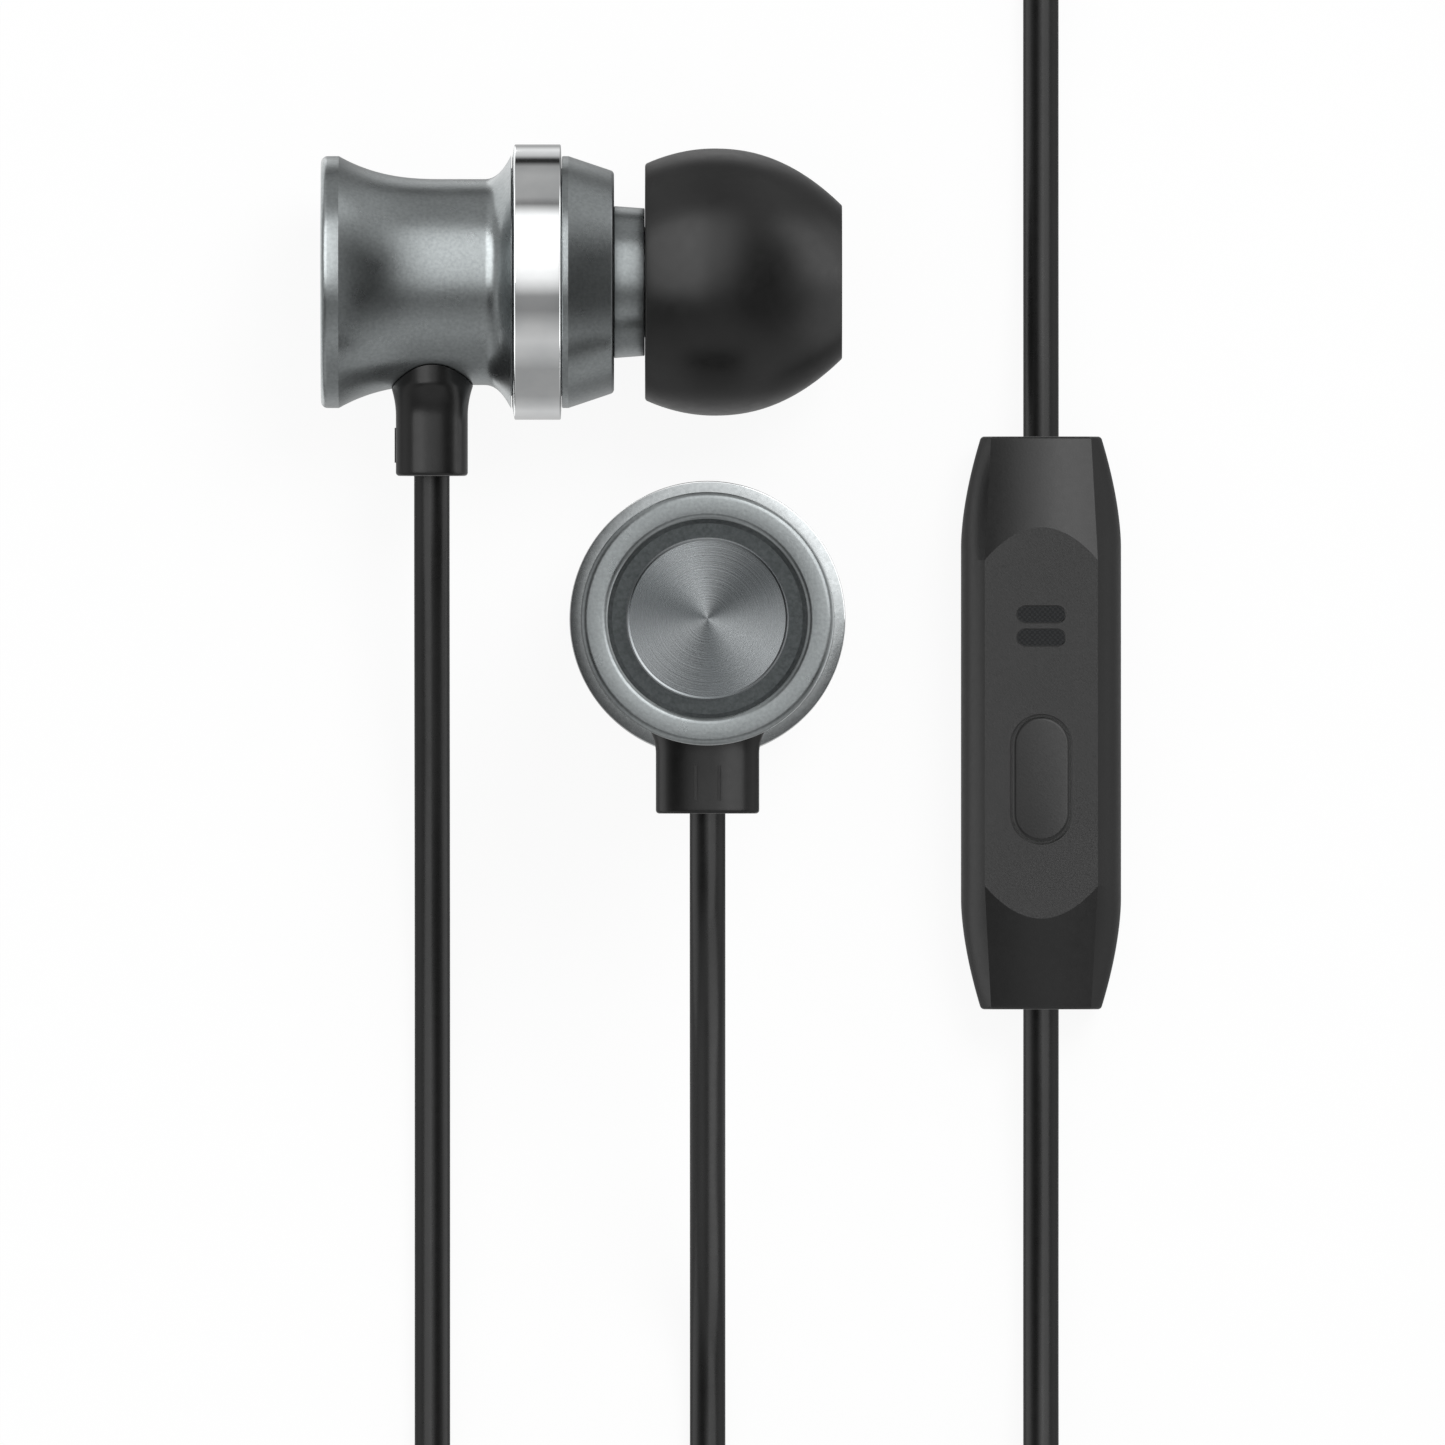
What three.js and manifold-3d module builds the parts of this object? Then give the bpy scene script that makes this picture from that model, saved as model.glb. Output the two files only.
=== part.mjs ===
// Wired in-ear earphones: two turned metal earbuds, an in-line remote, a splitter and a plug.
// Millimetres, +Z up. The set lies on a table, and the origin is the middle of the remote's
// back face. One earbud lies on its bright ring, the other stands on its ear tip.

import * as THREE from 'three';
import { mergeVertices } from 'three/addons/utils/BufferGeometryUtils.js';
import Module from 'manifold-3d';

const wasm = await Module();
wasm.setup();

// Clearances
const seam = 0.1; // between faces that meet
const slip = 0.15; // round a part that sits in another's bore
const cordGap = 0.3; // between a cord's end and what it enters
const pileGap = 0.3; // between a piece and the coil that it lies on
const overrun = 1; // how far a cutter runs past what it cuts
const weld = 1e-4; // points closer than this are one point

// Facets
const turnedSides = 28;
const innerSides = 16;
const plugSides = 18;
const cordSides = 8;
const coilSides = 6;
const coilSteps = 24; // steps in one turn of a coil
const flareSteps = 5;
const skirtSteps = 2;
const taperShares = [0, 1 / 3, 2 / 3]; // along the remote's narrowing ends
const splitterShares = [0, 1 / 3, 2 / 3, 1];

// Cord
const cordDiameter = 1.67;
const cordRadius = cordDiameter / 2;

// Earbud, along its own axis from the rear face towards the ear
const metalWall = 0.8;
const rimRadius = 5.92;
const rimBand = 0.84;
const rimEdge = 0.31;
const recessRadius = 4.75;
const recessDepth = 0.55;
const recessChamfer = 0.13;
const discRadius = 3.8;
const discThickness = 0.4;
const discChamfer = 0.08;
const waistRadius = 4.84;
const waistFrom = 5.8;
const waistTo = 7.66;
const shoulderStep = 0.53; // from the spigot out to the shoulder's edge
const shoulderAt = 8.93;
const rearFlarePower = 2.6; // how fast the rim's flare dies away
const frontFlarePower = 2.05;
const spigotWall = 0.45;
const spigotLength = 1.05;
const brightRingWall = 0.97;
const brightRingWidth = 2.25;
const brightRingChamfer = 0.12;
const capStep = 0.57; // from the spigot out to the cap's band
const capBand = 0.25;
const capTaper = 2.14;
const capFrontRadius = 5.2;
const capCorner = 0.15;
const capLedgeRadius = 4.6;
const neckRadius = 3.47;
const neckLength = 1.36;
const nozzleRadius = 2.6;
const nozzleLength = 4.35;
const nozzleLip = 0.25;
const nozzleLipLength = 0.7;
const nozzleLipSlope = 0.3;
const nozzleBore = 1.9;
const meshSeat = 0.35; // how deep and how much wider the mesh's seat is than the bore
const meshThickness = 0.2;
const meshHole = 0.42;
const meshPitch = 1.25;
const meshHoleSides = 6; // of each hole, and holes in the ring round the middle one

// Ear tip
const tipRearRadius = 5.55;
const tipRadius = 6.28;
const tipFrontRadius = 3.6;
const tipSkirt = 3.24; // from its rear edge to its widest place
const tipDome = 6.02; // from there to its front
const tipDomePower = 2.2;
const tipWall = 0.6;
const tipSleeveWall = 0.65;
const tipBore = 2;
const tipHollow = 5.8; // depth of the gap between sleeve and skirt

// Driver
const driverRadius = 4.75;
const driverDepth = 2.55;
const driverWall = 0.4;
const yokeRadius = 3.45;
const yokeDepth = 2;
const yokeWall = 0.35;
const magnetRadius = 2.5;
const magnetThickness = 1;
const poleThickness = 0.45;
const coilWireWall = 0.25;
const coilWireHeight = 0.95;
const domeRise = 0.2;
const membrane = 0.12;
const boardWidth = 3;
const boardHeight = 1.6;
const boardThickness = 0.4;

// Boot, where the cord leaves an earbud
const bootWidth = 4.84;
const bootDepth = 3.38;
const bootTopWidth = 5.9;
const bootTopDepth = 3.9;
const bootReach = 9.11; // from the earbud's axis to the boot's end
const bootFlareEnd = 5.85;
const bootCorner = 0.12;
const bootSquareness = 3; // of its superellipse section, and of its flared top
const bootTopSquareness = 2.2;
const bootPoints = 20;
const bootNeckWidth = 2.6;
const bootNeckDepth = 1.7;

// Remote
const remoteLength = 26.95;
const remoteWidth = 7.53;
const remoteEndWidth = 5.64;
const remoteThickness = 5.4;
const remoteStraight = 8.3; // half of the length that keeps the full width
const remoteTaperPower = 1.7;
const remoteWall = 0.8;
const remoteEndWall = 1.9;
const remoteBackRound = 1.3;
const remoteEndCorner = 0.14;
const remoteSplit = 2.6;
const remoteSideTop = 2.9;
const remoteShoulder = 0.77; // how far below the ridge its tangent meets the side
const shoulderShares = [0.27, 0.6]; // along the shoulder's curve from the ridge
const panelWidth = 5.32;
const panelEndWidth = 4.7; // between the ridges at the remote's ends
const panelCorner = 7.66; // half length of the panel at its sides and on its centre line
const panelApex = 9.2;
const crownRadius = 9;
const remoteCordHeight = 2.2;
const slotLength = 2.23;
const slotWidth = 0.74;
const slotPitch = 1.09;
const slotsAt = 4.56;
const buttonLength = 5.74;
const buttonWidth = 2.54;
const buttonGroove = 0.17;
const buttonAt = -2.65;
const buttonProud = 0.12;
const buttonTravel = 0.25;
const buttonFlange = 0.5;
const stemRadius = 0.8;
const circuitWidth = 4;
const circuitEndGap = 2.075;
const circuitThickness = 0.6;
const circuitRib = 0.6;
const switchWidth = 3.2;
const switchHeight = 1.05;
const plungerRadius = 0.7;
const plungerLength = 0.75;
const plungerRest = 0.25; // how much of the plunger still stands out when it is pressed
const microphoneRadius = 1.45;
const microphoneHeight = 1.3;
const microphonePort = 0.4;
const gauzeThickness = 0.15;

// Splitter
const splitterLength = 13;
const splitterWidth = 5.2;
const splitterEndWidth = 3.2;
const splitterThickness = 3;
const splitterCordPitch = 2.3;
const splitterSquareness = 3;

// Plug: a 3.5 mm plug with four contacts
const barrelRadius = 3;
const barrelLength = 14;
const barrelChamfer = 0.3;
const barrelNeck = 2.3;
const barrelNeckLength = 0.8;
const reliefLength = 5.5;
const reliefRadius = 1.9;
const reliefEndRadius = 1.35;
const contactRadius = 1.75;
const sleeveLength = 4.6;
const contactLength = 1.9;
const insulatorLength = 0.6;
const insulatorRadius = 1.7;
const tipLength = 3.9;
const tipNotch = 1.25;
const tipEndRadius = 0.6;
const tipWidestShare = 0.4; // along the plug's tip
const tipNotchShare = 0.22;

// What the driver and the remote's length set
const spigotRadius = driverRadius + slip + spigotWall;
const shoulderRadius = spigotRadius + shoulderStep;
const capRadius = spigotRadius + capStep;
const ringBore = spigotRadius + slip;
const brightRingRadius = ringBore + brightRingWall;
const circuitLength = remoteLength - 2 * (remoteEndWall + circuitEndGap);

// Places on the table
const leftBudAt = new THREE.Vector3(-33.86, 20.72, brightRingRadius);
const rightBudAt = new THREE.Vector2(-15.69, 4.87);
const splitterAt = new THREE.Vector2(0, -73.3);
const leftCoil = { x: -21.66, y: -51.2, turns: 3.25, layers: 2, middle: 9.6, start: Math.PI };
const mainCoil = { x: 8.2, y: -56.4, turns: 14.25, layers: 4, middle: 9.2, start: 0 };
const coilPitch = 2.15; // from turn to turn and from layer to layer
const climbTurns = 1 / 2; // in which the cord climbs a layer

// Places along an earbud's axis
const bootAt = 5.21;
const brightRingFrom = shoulderAt + seam;
const brightRingTo = brightRingFrom + brightRingWidth;
const capFrom = brightRingTo + seam;
const capTo = capFrom + capBand + capTaper;
const neckTo = capTo + neckLength;
const nozzleTo = neckTo + nozzleLength;
const tipFrom = neckTo + seam;
const tipTo = tipFrom + tipSkirt + tipDome;
const driverTo = capFrom - seam;
const driverFrom = driverTo - driverDepth;
const driverSeat = driverFrom - seam;

// Shapes

function facingOut(geometry) {
  const position = geometry.attributes.position;
  const index = geometry.index.array;
  const [a, b, c] = [new THREE.Vector3(), new THREE.Vector3(), new THREE.Vector3()];
  let volume = 0;
  for (let i = 0; i < index.length; i += 3) {
    a.fromBufferAttribute(position, index[i]);
    b.fromBufferAttribute(position, index[i + 1]);
    c.fromBufferAttribute(position, index[i + 2]);
    volume += a.dot(b.cross(c));
  }
  if (volume < 0) geometry.setIndex([...index].reverse());
  return geometry;
}

function merged(geometry) {
  const bare = geometry.clone();
  bare.deleteAttribute('normal');
  bare.deleteAttribute('uv');
  const joined = mergeVertices(bare, weld);
  const index = joined.index.array;
  const kept = [];
  for (let i = 0; i < index.length; i += 3) {
    const [a, b, c] = [index[i], index[i + 1], index[i + 2]];
    if (a !== b && b !== c && c !== a) kept.push(a, b, c);
  }
  joined.setIndex(kept);
  return facingOut(joined);
}

function solid(geometry) {
  const closed = merged(geometry);
  return new wasm.Manifold(
    new wasm.Mesh({
      numProp: 3,
      vertProperties: new Float32Array(closed.attributes.position.array),
      triVerts: new Uint32Array(closed.index.array),
    }),
  );
}

function geometryOf(body) {
  const mesh = body.getMesh();
  const geometry = new THREE.BufferGeometry();
  geometry.setAttribute('position', new THREE.BufferAttribute(mesh.vertProperties, 3));
  geometry.setIndex(new THREE.BufferAttribute(mesh.triVerts, 1));
  return geometry;
}

// A profile of [radius, height] pairs turned round +Z.
function turned(profile, sides = turnedSides) {
  const points = profile.map(([radius, height]) => new THREE.Vector2(radius, height));
  const onAxis = points[0].x === 0 && points.at(-1).x === 0;
  if (!onAxis) points.push(points[0].clone());
  return merged(new THREE.LatheGeometry(points, sides).rotateX(Math.PI / 2));
}

// Rings of points, each with as many points as the next, skinned and closed at both ends.
function loft(rings) {
  const count = rings[0].length;
  const points = rings.flat();
  const index = [];
  for (let ring = 0; ring < rings.length - 1; ring++) {
    for (let i = 0; i < count; i++) {
      const a = ring * count + i;
      const b = ring * count + ((i + 1) % count);
      index.push(a, b, b + count, a, b + count, a + count);
    }
  }
  for (const first of [0, (rings.length - 1) * count]) {
    for (let i = 1; i < count - 1; i++) {
      if (first === 0) index.push(first, first + i + 1, first + i);
      else index.push(first, first + i, first + i + 1);
    }
  }
  const geometry = new THREE.BufferGeometry().setFromPoints(points);
  geometry.setIndex(index);
  return facingOut(geometry);
}

function circle(centre, radius, sides) {
  return Array.from({ length: sides }, (_, i) => {
    const angle = (2 * Math.PI * i) / sides;
    return new THREE.Vector2(
      centre.x + radius * Math.cos(angle),
      centre.y + radius * Math.sin(angle),
    );
  });
}

function stadium(length, width, height, from) {
  const radius = width / 2;
  const reach = length / 2 - radius;
  const shape = new THREE.Shape();
  shape.absarc(0, reach, radius, 0, Math.PI);
  shape.absarc(0, -reach, radius, Math.PI, 2 * Math.PI);
  const options = { depth: height, bevelEnabled: false, curveSegments: flareSteps };
  return new THREE.ExtrudeGeometry(shape, options).translate(0, 0, from);
}

function block(width, length, height, from) {
  return new THREE.BoxGeometry(width, length, height).translate(0, 0, from + height / 2);
}

function pin(radius, height, from, sides = innerSides) {
  return turned([[0, from], [radius, from], [radius, from + height], [0, from + height]], sides);
}

function superellipse(halfWidth, halfDepth, squareness, place) {
  return Array.from({ length: bootPoints }, (_, i) => {
    const angle = (2 * Math.PI * i) / bootPoints;
    const [x, y] = [Math.cos(angle), Math.sin(angle)].map(
      (part) => Math.sign(part) * Math.abs(part) ** (2 / squareness),
    );
    return place(halfWidth * x, halfDepth * y);
  });
}

function piece(name, geometry, finish) {
  const mesh = new THREE.Mesh(geometry, finish.clone());
  mesh.name = name;
  return mesh;
}

// Finishes

function finish(color, roughness, metalness) {
  return new THREE.MeshStandardMaterial({ color, roughness, metalness });
}

const gunmetal = finish(0x63686a, 0.45, 1);
const brushedMetal = finish(0x7f8385, 0.35, 1);
const chrome = finish(0xd8d8d8, 0.08, 1);
const blackRubber = finish(0x2b2b2b, 0.6, 0);
const silicone = finish(0x333333, 0.55, 0);
const blackPlastic = finish(0x424242, 0.4, 0);
const gauze = finish(0x1c1c1c, 0.7, 0.4);
const steel = finish(0x8c8f92, 0.35, 1);
const magnetSteel = finish(0x5a5d60, 0.4, 1);
const copper = finish(0xb06a3a, 0.35, 1);
const film = finish(0xc9b98a, 0.5, 0);
const circuitGreen = finish(0x1f5a3a, 0.6, 0);
const gold = finish(0xc9a24b, 0.25, 1);
const whitePlastic = finish(0xe6e6e2, 0.5, 0);

// Earbud

// The housing's outer outline from the rim's edge to the shoulder, grown outwards by an offset.
function housingOutline(offset) {
  const rise = rimRadius - waistRadius;
  const rear = Array.from({ length: flareSteps + 1 }, (_, i) => {
    const share = i / flareSteps;
    const along = rimBand + share * (waistFrom - rimBand);
    return [waistRadius + rise * (1 - share) ** rearFlarePower + offset, along];
  });
  const front = Array.from({ length: flareSteps + 1 }, (_, i) => {
    const share = i / flareSteps;
    const along = waistTo + share * (shoulderAt - waistTo);
    return [
      waistRadius + (shoulderRadius - waistRadius) * share ** frontFlarePower + offset,
      along,
    ];
  });
  return [...rear, ...front];
}

function rearHousing() {
  const cavity = waistRadius - metalWall;
  const profile = [
    [0, recessDepth],
    [recessRadius, recessDepth],
    [recessRadius, recessChamfer],
    [recessRadius + recessChamfer, 0],
    [rimRadius - rimEdge, 0],
    [rimRadius, rimEdge],
    ...housingOutline(0),
    [spigotRadius, shoulderAt],
    [spigotRadius, shoulderAt + spigotLength],
    [driverRadius + slip, shoulderAt + spigotLength],
    [driverRadius + slip, driverSeat],
    [cavity, driverSeat],
    [cavity, recessDepth + metalWall],
    [0, recessDepth + metalWall],
  ];
  const hole = loft(
    [0, -rimRadius].map((y) =>
      superellipse(
        bootNeckWidth / 2 + slip,
        bootNeckDepth / 2 + slip,
        bootTopSquareness,
        (x, z) => new THREE.Vector3(x, y, bootAt + z),
      ),
    ),
  );
  return geometryOf(solid(turned(profile)).subtract(solid(hole)));
}

function rearDisc() {
  const back = recessDepth - seam;
  return turned([
    [0, back - discThickness],
    [discRadius - discChamfer, back - discThickness],
    [discRadius, back - discThickness + discChamfer],
    [discRadius, back],
    [0, back],
  ]);
}

function brightRing() {
  return turned([
    [ringBore, brightRingFrom],
    [brightRingRadius - brightRingChamfer, brightRingFrom],
    [brightRingRadius, brightRingFrom + brightRingChamfer],
    [brightRingRadius, brightRingTo - brightRingChamfer],
    [brightRingRadius - brightRingChamfer, brightRingTo],
    [ringBore, brightRingTo],
  ]);
}

function frontCap() {
  const skirtFrom = shoulderAt + spigotLength + seam;
  const lip = nozzleRadius + nozzleLip;
  const taperShare = capCorner / capTaper;
  const corner = capFrontRadius + taperShare * (capRadius - capFrontRadius);
  return turned([
    [driverRadius + slip, skirtFrom],
    [spigotRadius, skirtFrom],
    [spigotRadius, capFrom],
    [capRadius, capFrom],
    [capRadius, capFrom + capBand],
    [corner, capTo - capCorner],
    [capFrontRadius - capCorner, capTo],
    [neckRadius, capTo],
    [neckRadius, neckTo],
    [nozzleRadius, neckTo],
    [nozzleRadius, nozzleTo - nozzleLipLength - nozzleLipSlope],
    [lip, nozzleTo - nozzleLipLength],
    [lip, nozzleTo - nozzleLip],
    [nozzleRadius, nozzleTo],
    [nozzleBore + meshSeat, nozzleTo],
    [nozzleBore + meshSeat, nozzleTo - meshSeat],
    [nozzleBore, nozzleTo - meshSeat],
    [nozzleBore, capTo],
    [capLedgeRadius, capFrom + metalWall],
    [capLedgeRadius, capFrom],
    [driverRadius + slip, capFrom],
  ]);
}

function nozzleMesh() {
  const middle = new THREE.Vector2();
  const shape = new THREE.Shape(circle(middle, nozzleBore + meshSeat - slip, innerSides));
  const centres = [middle, ...circle(middle, meshPitch, meshHoleSides)];
  shape.holes = centres.map((centre) => new THREE.Path(circle(centre, meshHole, meshHoleSides)));
  const options = { depth: meshThickness, bevelEnabled: false };
  const from = nozzleTo - meshSeat + seam;
  return merged(new THREE.ExtrudeGeometry(shape, options).translate(0, 0, from));
}

function tipOuterRadius(along) {
  const past = along - tipFrom - tipSkirt;
  if (past < 0) return tipRadius - (tipRadius - tipRearRadius) * (past / tipSkirt) ** 2;
  return tipRadius - (tipRadius - tipFrontRadius) * (past / tipDome) ** tipDomePower;
}

function earTip() {
  const steps = (count, from, to) =>
    Array.from({ length: count + 1 }, (_, i) => from + ((to - from) * i) / count);
  const widest = tipFrom + tipSkirt;
  const heights = [
    ...steps(skirtSteps, tipFrom, widest).slice(0, -1),
    ...steps(flareSteps, widest, tipTo),
  ];
  const outer = heights.map((along) => [tipOuterRadius(along), along]);
  const inner = steps(skirtSteps, tipFrom + tipHollow, tipFrom).map((along) => [
    tipOuterRadius(along) - tipWall,
    along,
  ]);
  const sleeveBore = nozzleRadius + nozzleLip + seam;
  const sleeveRadius = sleeveBore + tipSleeveWall;
  const stop = nozzleTo + slip;
  return turned([
    ...outer,
    [tipBore, tipTo],
    [tipBore, stop],
    [sleeveBore, stop],
    [sleeveBore, tipFrom],
    [sleeveRadius, tipFrom],
    [sleeveRadius, tipFrom + tipHollow],
    ...inner,
  ]);
}

function boot() {
  const section = (y, width, depth, squareness) =>
    superellipse(
      width / 2,
      depth / 2,
      squareness,
      (x, z) => new THREE.Vector3(x, -y, bootAt + z),
    );
  const innerEnd = waistRadius - metalWall;
  const flare = Array.from({ length: flareSteps + 1 }, (_, i) => {
    const share = i / flareSteps;
    const open = (1 - share) ** 2;
    return section(
      waistRadius + share * (bootFlareEnd - waistRadius),
      bootWidth + open * (bootTopWidth - bootWidth),
      bootDepth + open * (bootTopDepth - bootDepth),
      bootSquareness + open * (bootTopSquareness - bootSquareness),
    );
  });
  const body = solid(
    loft([
      section(innerEnd, bootTopWidth, bootTopDepth, bootTopSquareness),
      ...flare,
      section(bootReach - bootCorner, bootWidth, bootDepth, bootSquareness),
      section(
        bootReach,
        bootWidth - 2 * bootCorner,
        bootDepth - 2 * bootCorner,
        bootSquareness,
      ),
    ]),
  );
  const outline = housingOutline(seam);
  const housing = solid(turned([[0, rimBand], ...outline, [0, shoulderAt]]));
  const neck = solid(
    loft(
      [innerEnd + seam, bootFlareEnd].map((y) =>
        section(y, bootNeckWidth, bootNeckDepth, bootTopSquareness),
      ),
    ),
  );
  return geometryOf(body.subtract(housing).add(neck));
}

function driverFrame() {
  const bore = yokeRadius + slip;
  return turned(
    [
      [bore, driverFrom],
      [driverRadius, driverFrom],
      [driverRadius, driverTo],
      [driverRadius - driverWall, driverTo],
      [driverRadius - driverWall, driverFrom + driverWall],
      [bore, driverFrom + driverWall],
    ],
    innerSides,
  );
}

function driverYoke() {
  return turned(
    [
      [0, driverFrom],
      [yokeRadius, driverFrom],
      [yokeRadius, driverFrom + yokeDepth],
      [yokeRadius - yokeWall, driverFrom + yokeDepth],
      [yokeRadius - yokeWall, driverFrom + yokeWall],
      [0, driverFrom + yokeWall],
    ],
    innerSides,
  );
}

const magnetFrom = driverFrom + yokeWall + seam;
const poleFrom = magnetFrom + magnetThickness + seam;
const poleTo = poleFrom + poleThickness;
const wireOuter = yokeRadius - yokeWall - slip;
const wireTo = poleTo + 2 * seam;
const membraneFrom = wireTo + seam;

function voiceCoil() {
  return turned(
    [
      [wireOuter - coilWireWall, wireTo - coilWireHeight],
      [wireOuter, wireTo - coilWireHeight],
      [wireOuter, wireTo],
      [wireOuter - coilWireWall, wireTo],
    ],
    innerSides,
  );
}

function diaphragm() {
  const edge = driverRadius - driverWall - slip;
  return turned(
    [
      [0, membraneFrom + domeRise],
      [wireOuter, membraneFrom],
      [edge, membraneFrom],
      [edge, membraneFrom + membrane],
      [wireOuter, membraneFrom + membrane],
      [0, membraneFrom + domeRise + membrane],
    ],
    innerSides,
  );
}

function terminalBoard() {
  const board = block(boardWidth, boardHeight, boardThickness, driverSeat - boardThickness);
  return board.translate(0, yokeRadius - boardHeight, 0);
}

function earbud(side) {
  const group = new THREE.Group();
  group.add(
    piece(`${side}_rear_housing`, rearHousing(), gunmetal),
    piece(`${side}_rear_disc`, rearDisc(), brushedMetal),
    piece(`${side}_bright_ring`, brightRing(), chrome),
    piece(`${side}_front_cap`, frontCap(), gunmetal),
    piece(`${side}_nozzle_mesh`, nozzleMesh(), gauze),
    piece(`${side}_ear_tip`, earTip(), silicone),
    piece(`${side}_boot`, boot(), blackRubber),
    piece(`${side}_driver_frame`, driverFrame(), blackPlastic),
    piece(`${side}_driver_yoke`, driverYoke(), steel),
    piece(`${side}_magnet`, pin(magnetRadius, magnetThickness, magnetFrom), magnetSteel),
    piece(`${side}_pole_plate`, pin(magnetRadius, poleThickness, poleFrom), steel),
    piece(`${side}_voice_coil`, voiceCoil(), copper),
    piece(`${side}_diaphragm`, diaphragm(), film),
    piece(`${side}_terminal_board`, terminalBoard(), circuitGreen),
  );
  return group;
}

// Remote

function remoteHalfWidth(y) {
  const past = Math.max(0, Math.abs(y) - remoteStraight);
  const share = past / (remoteLength / 2 - remoteStraight);
  return (remoteWidth - (remoteWidth - remoteEndWidth) * share ** remoteTaperPower) / 2;
}

function ridgeAt(y) {
  const past = Math.max(0, Math.abs(y) - panelCorner);
  const share = past / (remoteLength / 2 - panelCorner);
  return (panelWidth - (panelWidth - panelEndWidth) * share) / 2;
}

// The crowned top on the centre line. The flat panel is cut out of this crown.
function crownAt(y) {
  const rise = (panelWidth / 2) ** 2 / (2 * crownRadius);
  const slope = rise / (panelApex - panelCorner);
  const past = Math.max(0, Math.abs(y) - panelCorner);
  return remoteThickness + rise - slope * past;
}

function crowned(x, y) {
  return crownAt(y) - x ** 2 / (2 * crownRadius);
}

function remoteSection(y, inset = 0) {
  const side = remoteHalfWidth(y) - inset;
  const ridge = ridgeAt(y);
  const top = crowned(ridge, y);
  const round = remoteBackRound - inset;
  const shoulder = new THREE.QuadraticBezierCurve(
    new THREE.Vector2(ridge, top),
    new THREE.Vector2(side, top - remoteShoulder),
    new THREE.Vector2(side, remoteSideTop),
  );
  const half = [
    ...[-Math.PI / 2, -Math.PI / 4, 0].map((angle) => [
      side - round + round * Math.cos(angle),
      remoteBackRound + round * Math.sin(angle),
    ]),
    [side, remoteSideTop],
    ...shoulderShares.map((share) => shoulder.getPoint(share).toArray()).reverse(),
    [ridge, top - inset],
    [ridge / 2, crowned(ridge / 2, y) - inset],
  ];
  const other = half.map(([x, z]) => [-x, z]).reverse();
  return [...half, [0, crownAt(y) - inset], ...other].map(
    ([x, z]) => new THREE.Vector3(x, y, z),
  );
}

function remoteBody() {
  const half = remoteLength / 2;
  const taper = half - remoteStraight;
  const ends = taperShares.map((share) => remoteStraight + share * taper);
  const stations = [panelCorner, ...ends, half - remoteEndCorner];
  const rings = [...stations.map((y) => -y).reverse(), ...stations].map((y) => remoteSection(y));
  const body = solid(
    loft([remoteSection(-half, remoteEndCorner), ...rings, remoteSection(half, remoteEndCorner)]),
  );
  const width = remoteWidth + overrun;
  const length = remoteLength + overrun;
  return body.intersect(solid(block(width, length, remoteThickness, 0)));
}

function cavitySection(y) {
  const side = remoteHalfWidth(y) - remoteWall;
  const ridge = ridgeAt(y);
  const top = Math.min(remoteThickness, crowned(ridge, y)) - remoteWall;
  const half = [
    [side - remoteWall, remoteWall],
    [side, remoteBackRound],
    [side, remoteSideTop],
    [ridge - remoteWall / 2, top],
  ];
  const other = half.map(([x, z]) => [-x, z]).reverse();
  return [...half, ...other].map(([x, z]) => new THREE.Vector3(x, y, z));
}

function remoteShells() {
  const end = remoteLength / 2 - remoteEndWall;
  const cavity = solid(loft([-end, -panelCorner, panelCorner, end].map(cavitySection)));
  const hollow = remoteBody().subtract(cavity);
  const width = remoteWidth + overrun;
  const length = remoteLength + overrun;
  const backHeight = remoteSplit - seam / 2;
  const lower = solid(block(width, length, remoteSplit, backHeight - remoteSplit));
  const upper = solid(block(width, length, remoteThickness, remoteSplit + seam / 2));
  const rib = (y) =>
    solid(block(circuitWidth, circuitRib, circuitFrom - seam, 0).translate(0, y, 0));
  const ribs = [circuitLength / 2 - circuitRib, circuitRib - circuitLength / 2].map(rib);
  const back = ribs.reduce((shell, bar) => shell.add(bar), hollow.intersect(lower));
  const through = remoteThickness - remoteSplit;
  const opening = stadium(
    buttonLength + 2 * buttonGroove,
    buttonWidth + 2 * buttonGroove,
    through,
    remoteSplit + seam,
  ).translate(0, buttonAt, 0);
  const slots = [slotPitch / 2, -slotPitch / 2].map((offset) =>
    stadium(slotLength, slotWidth, through, remoteSplit + seam)
      .rotateZ(Math.PI / 2)
      .translate(0, slotsAt + offset, 0),
  );
  const front = [opening, ...slots].reduce(
    (shell, cut) => shell.subtract(solid(cut)),
    hollow.intersect(upper),
  );
  return [geometryOf(front), geometryOf(back)];
}

const circuitFrom = remoteWall + circuitRib + seam;
const circuitTo = circuitFrom + circuitThickness;
const switchFrom = circuitTo + seam;
const switchTo = switchFrom + switchHeight;
const plungerTo = switchTo + plungerRest + buttonTravel;
const panelUnderside = remoteThickness - remoteWall;

function remoteButton() {
  const flangeTo = panelUnderside - seam;
  const flangeFrom = flangeTo - buttonFlange;
  const height = remoteThickness + buttonProud - flangeFrom;
  const cap = solid(stadium(buttonLength, buttonWidth, height, flangeFrom));
  const spread = 2 * (buttonGroove + buttonFlange);
  const flange = solid(
    stadium(buttonLength + spread, buttonWidth + spread, buttonFlange, flangeFrom),
  );
  const stemFrom = plungerTo + seam;
  const stem = solid(pin(stemRadius, flangeTo - stemFrom, stemFrom));
  return geometryOf(cap.add(flange).add(stem)).translate(0, buttonAt, 0);
}

function switchBody() {
  const bore = pin(plungerRadius + slip, switchHeight, switchTo - plungerLength);
  const body = solid(block(switchWidth, switchWidth, switchHeight, switchFrom));
  return geometryOf(body.subtract(solid(bore))).translate(0, buttonAt, 0);
}

function switchPlunger() {
  return pin(plungerRadius, plungerLength, plungerTo - plungerLength).translate(0, buttonAt, 0);
}

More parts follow.
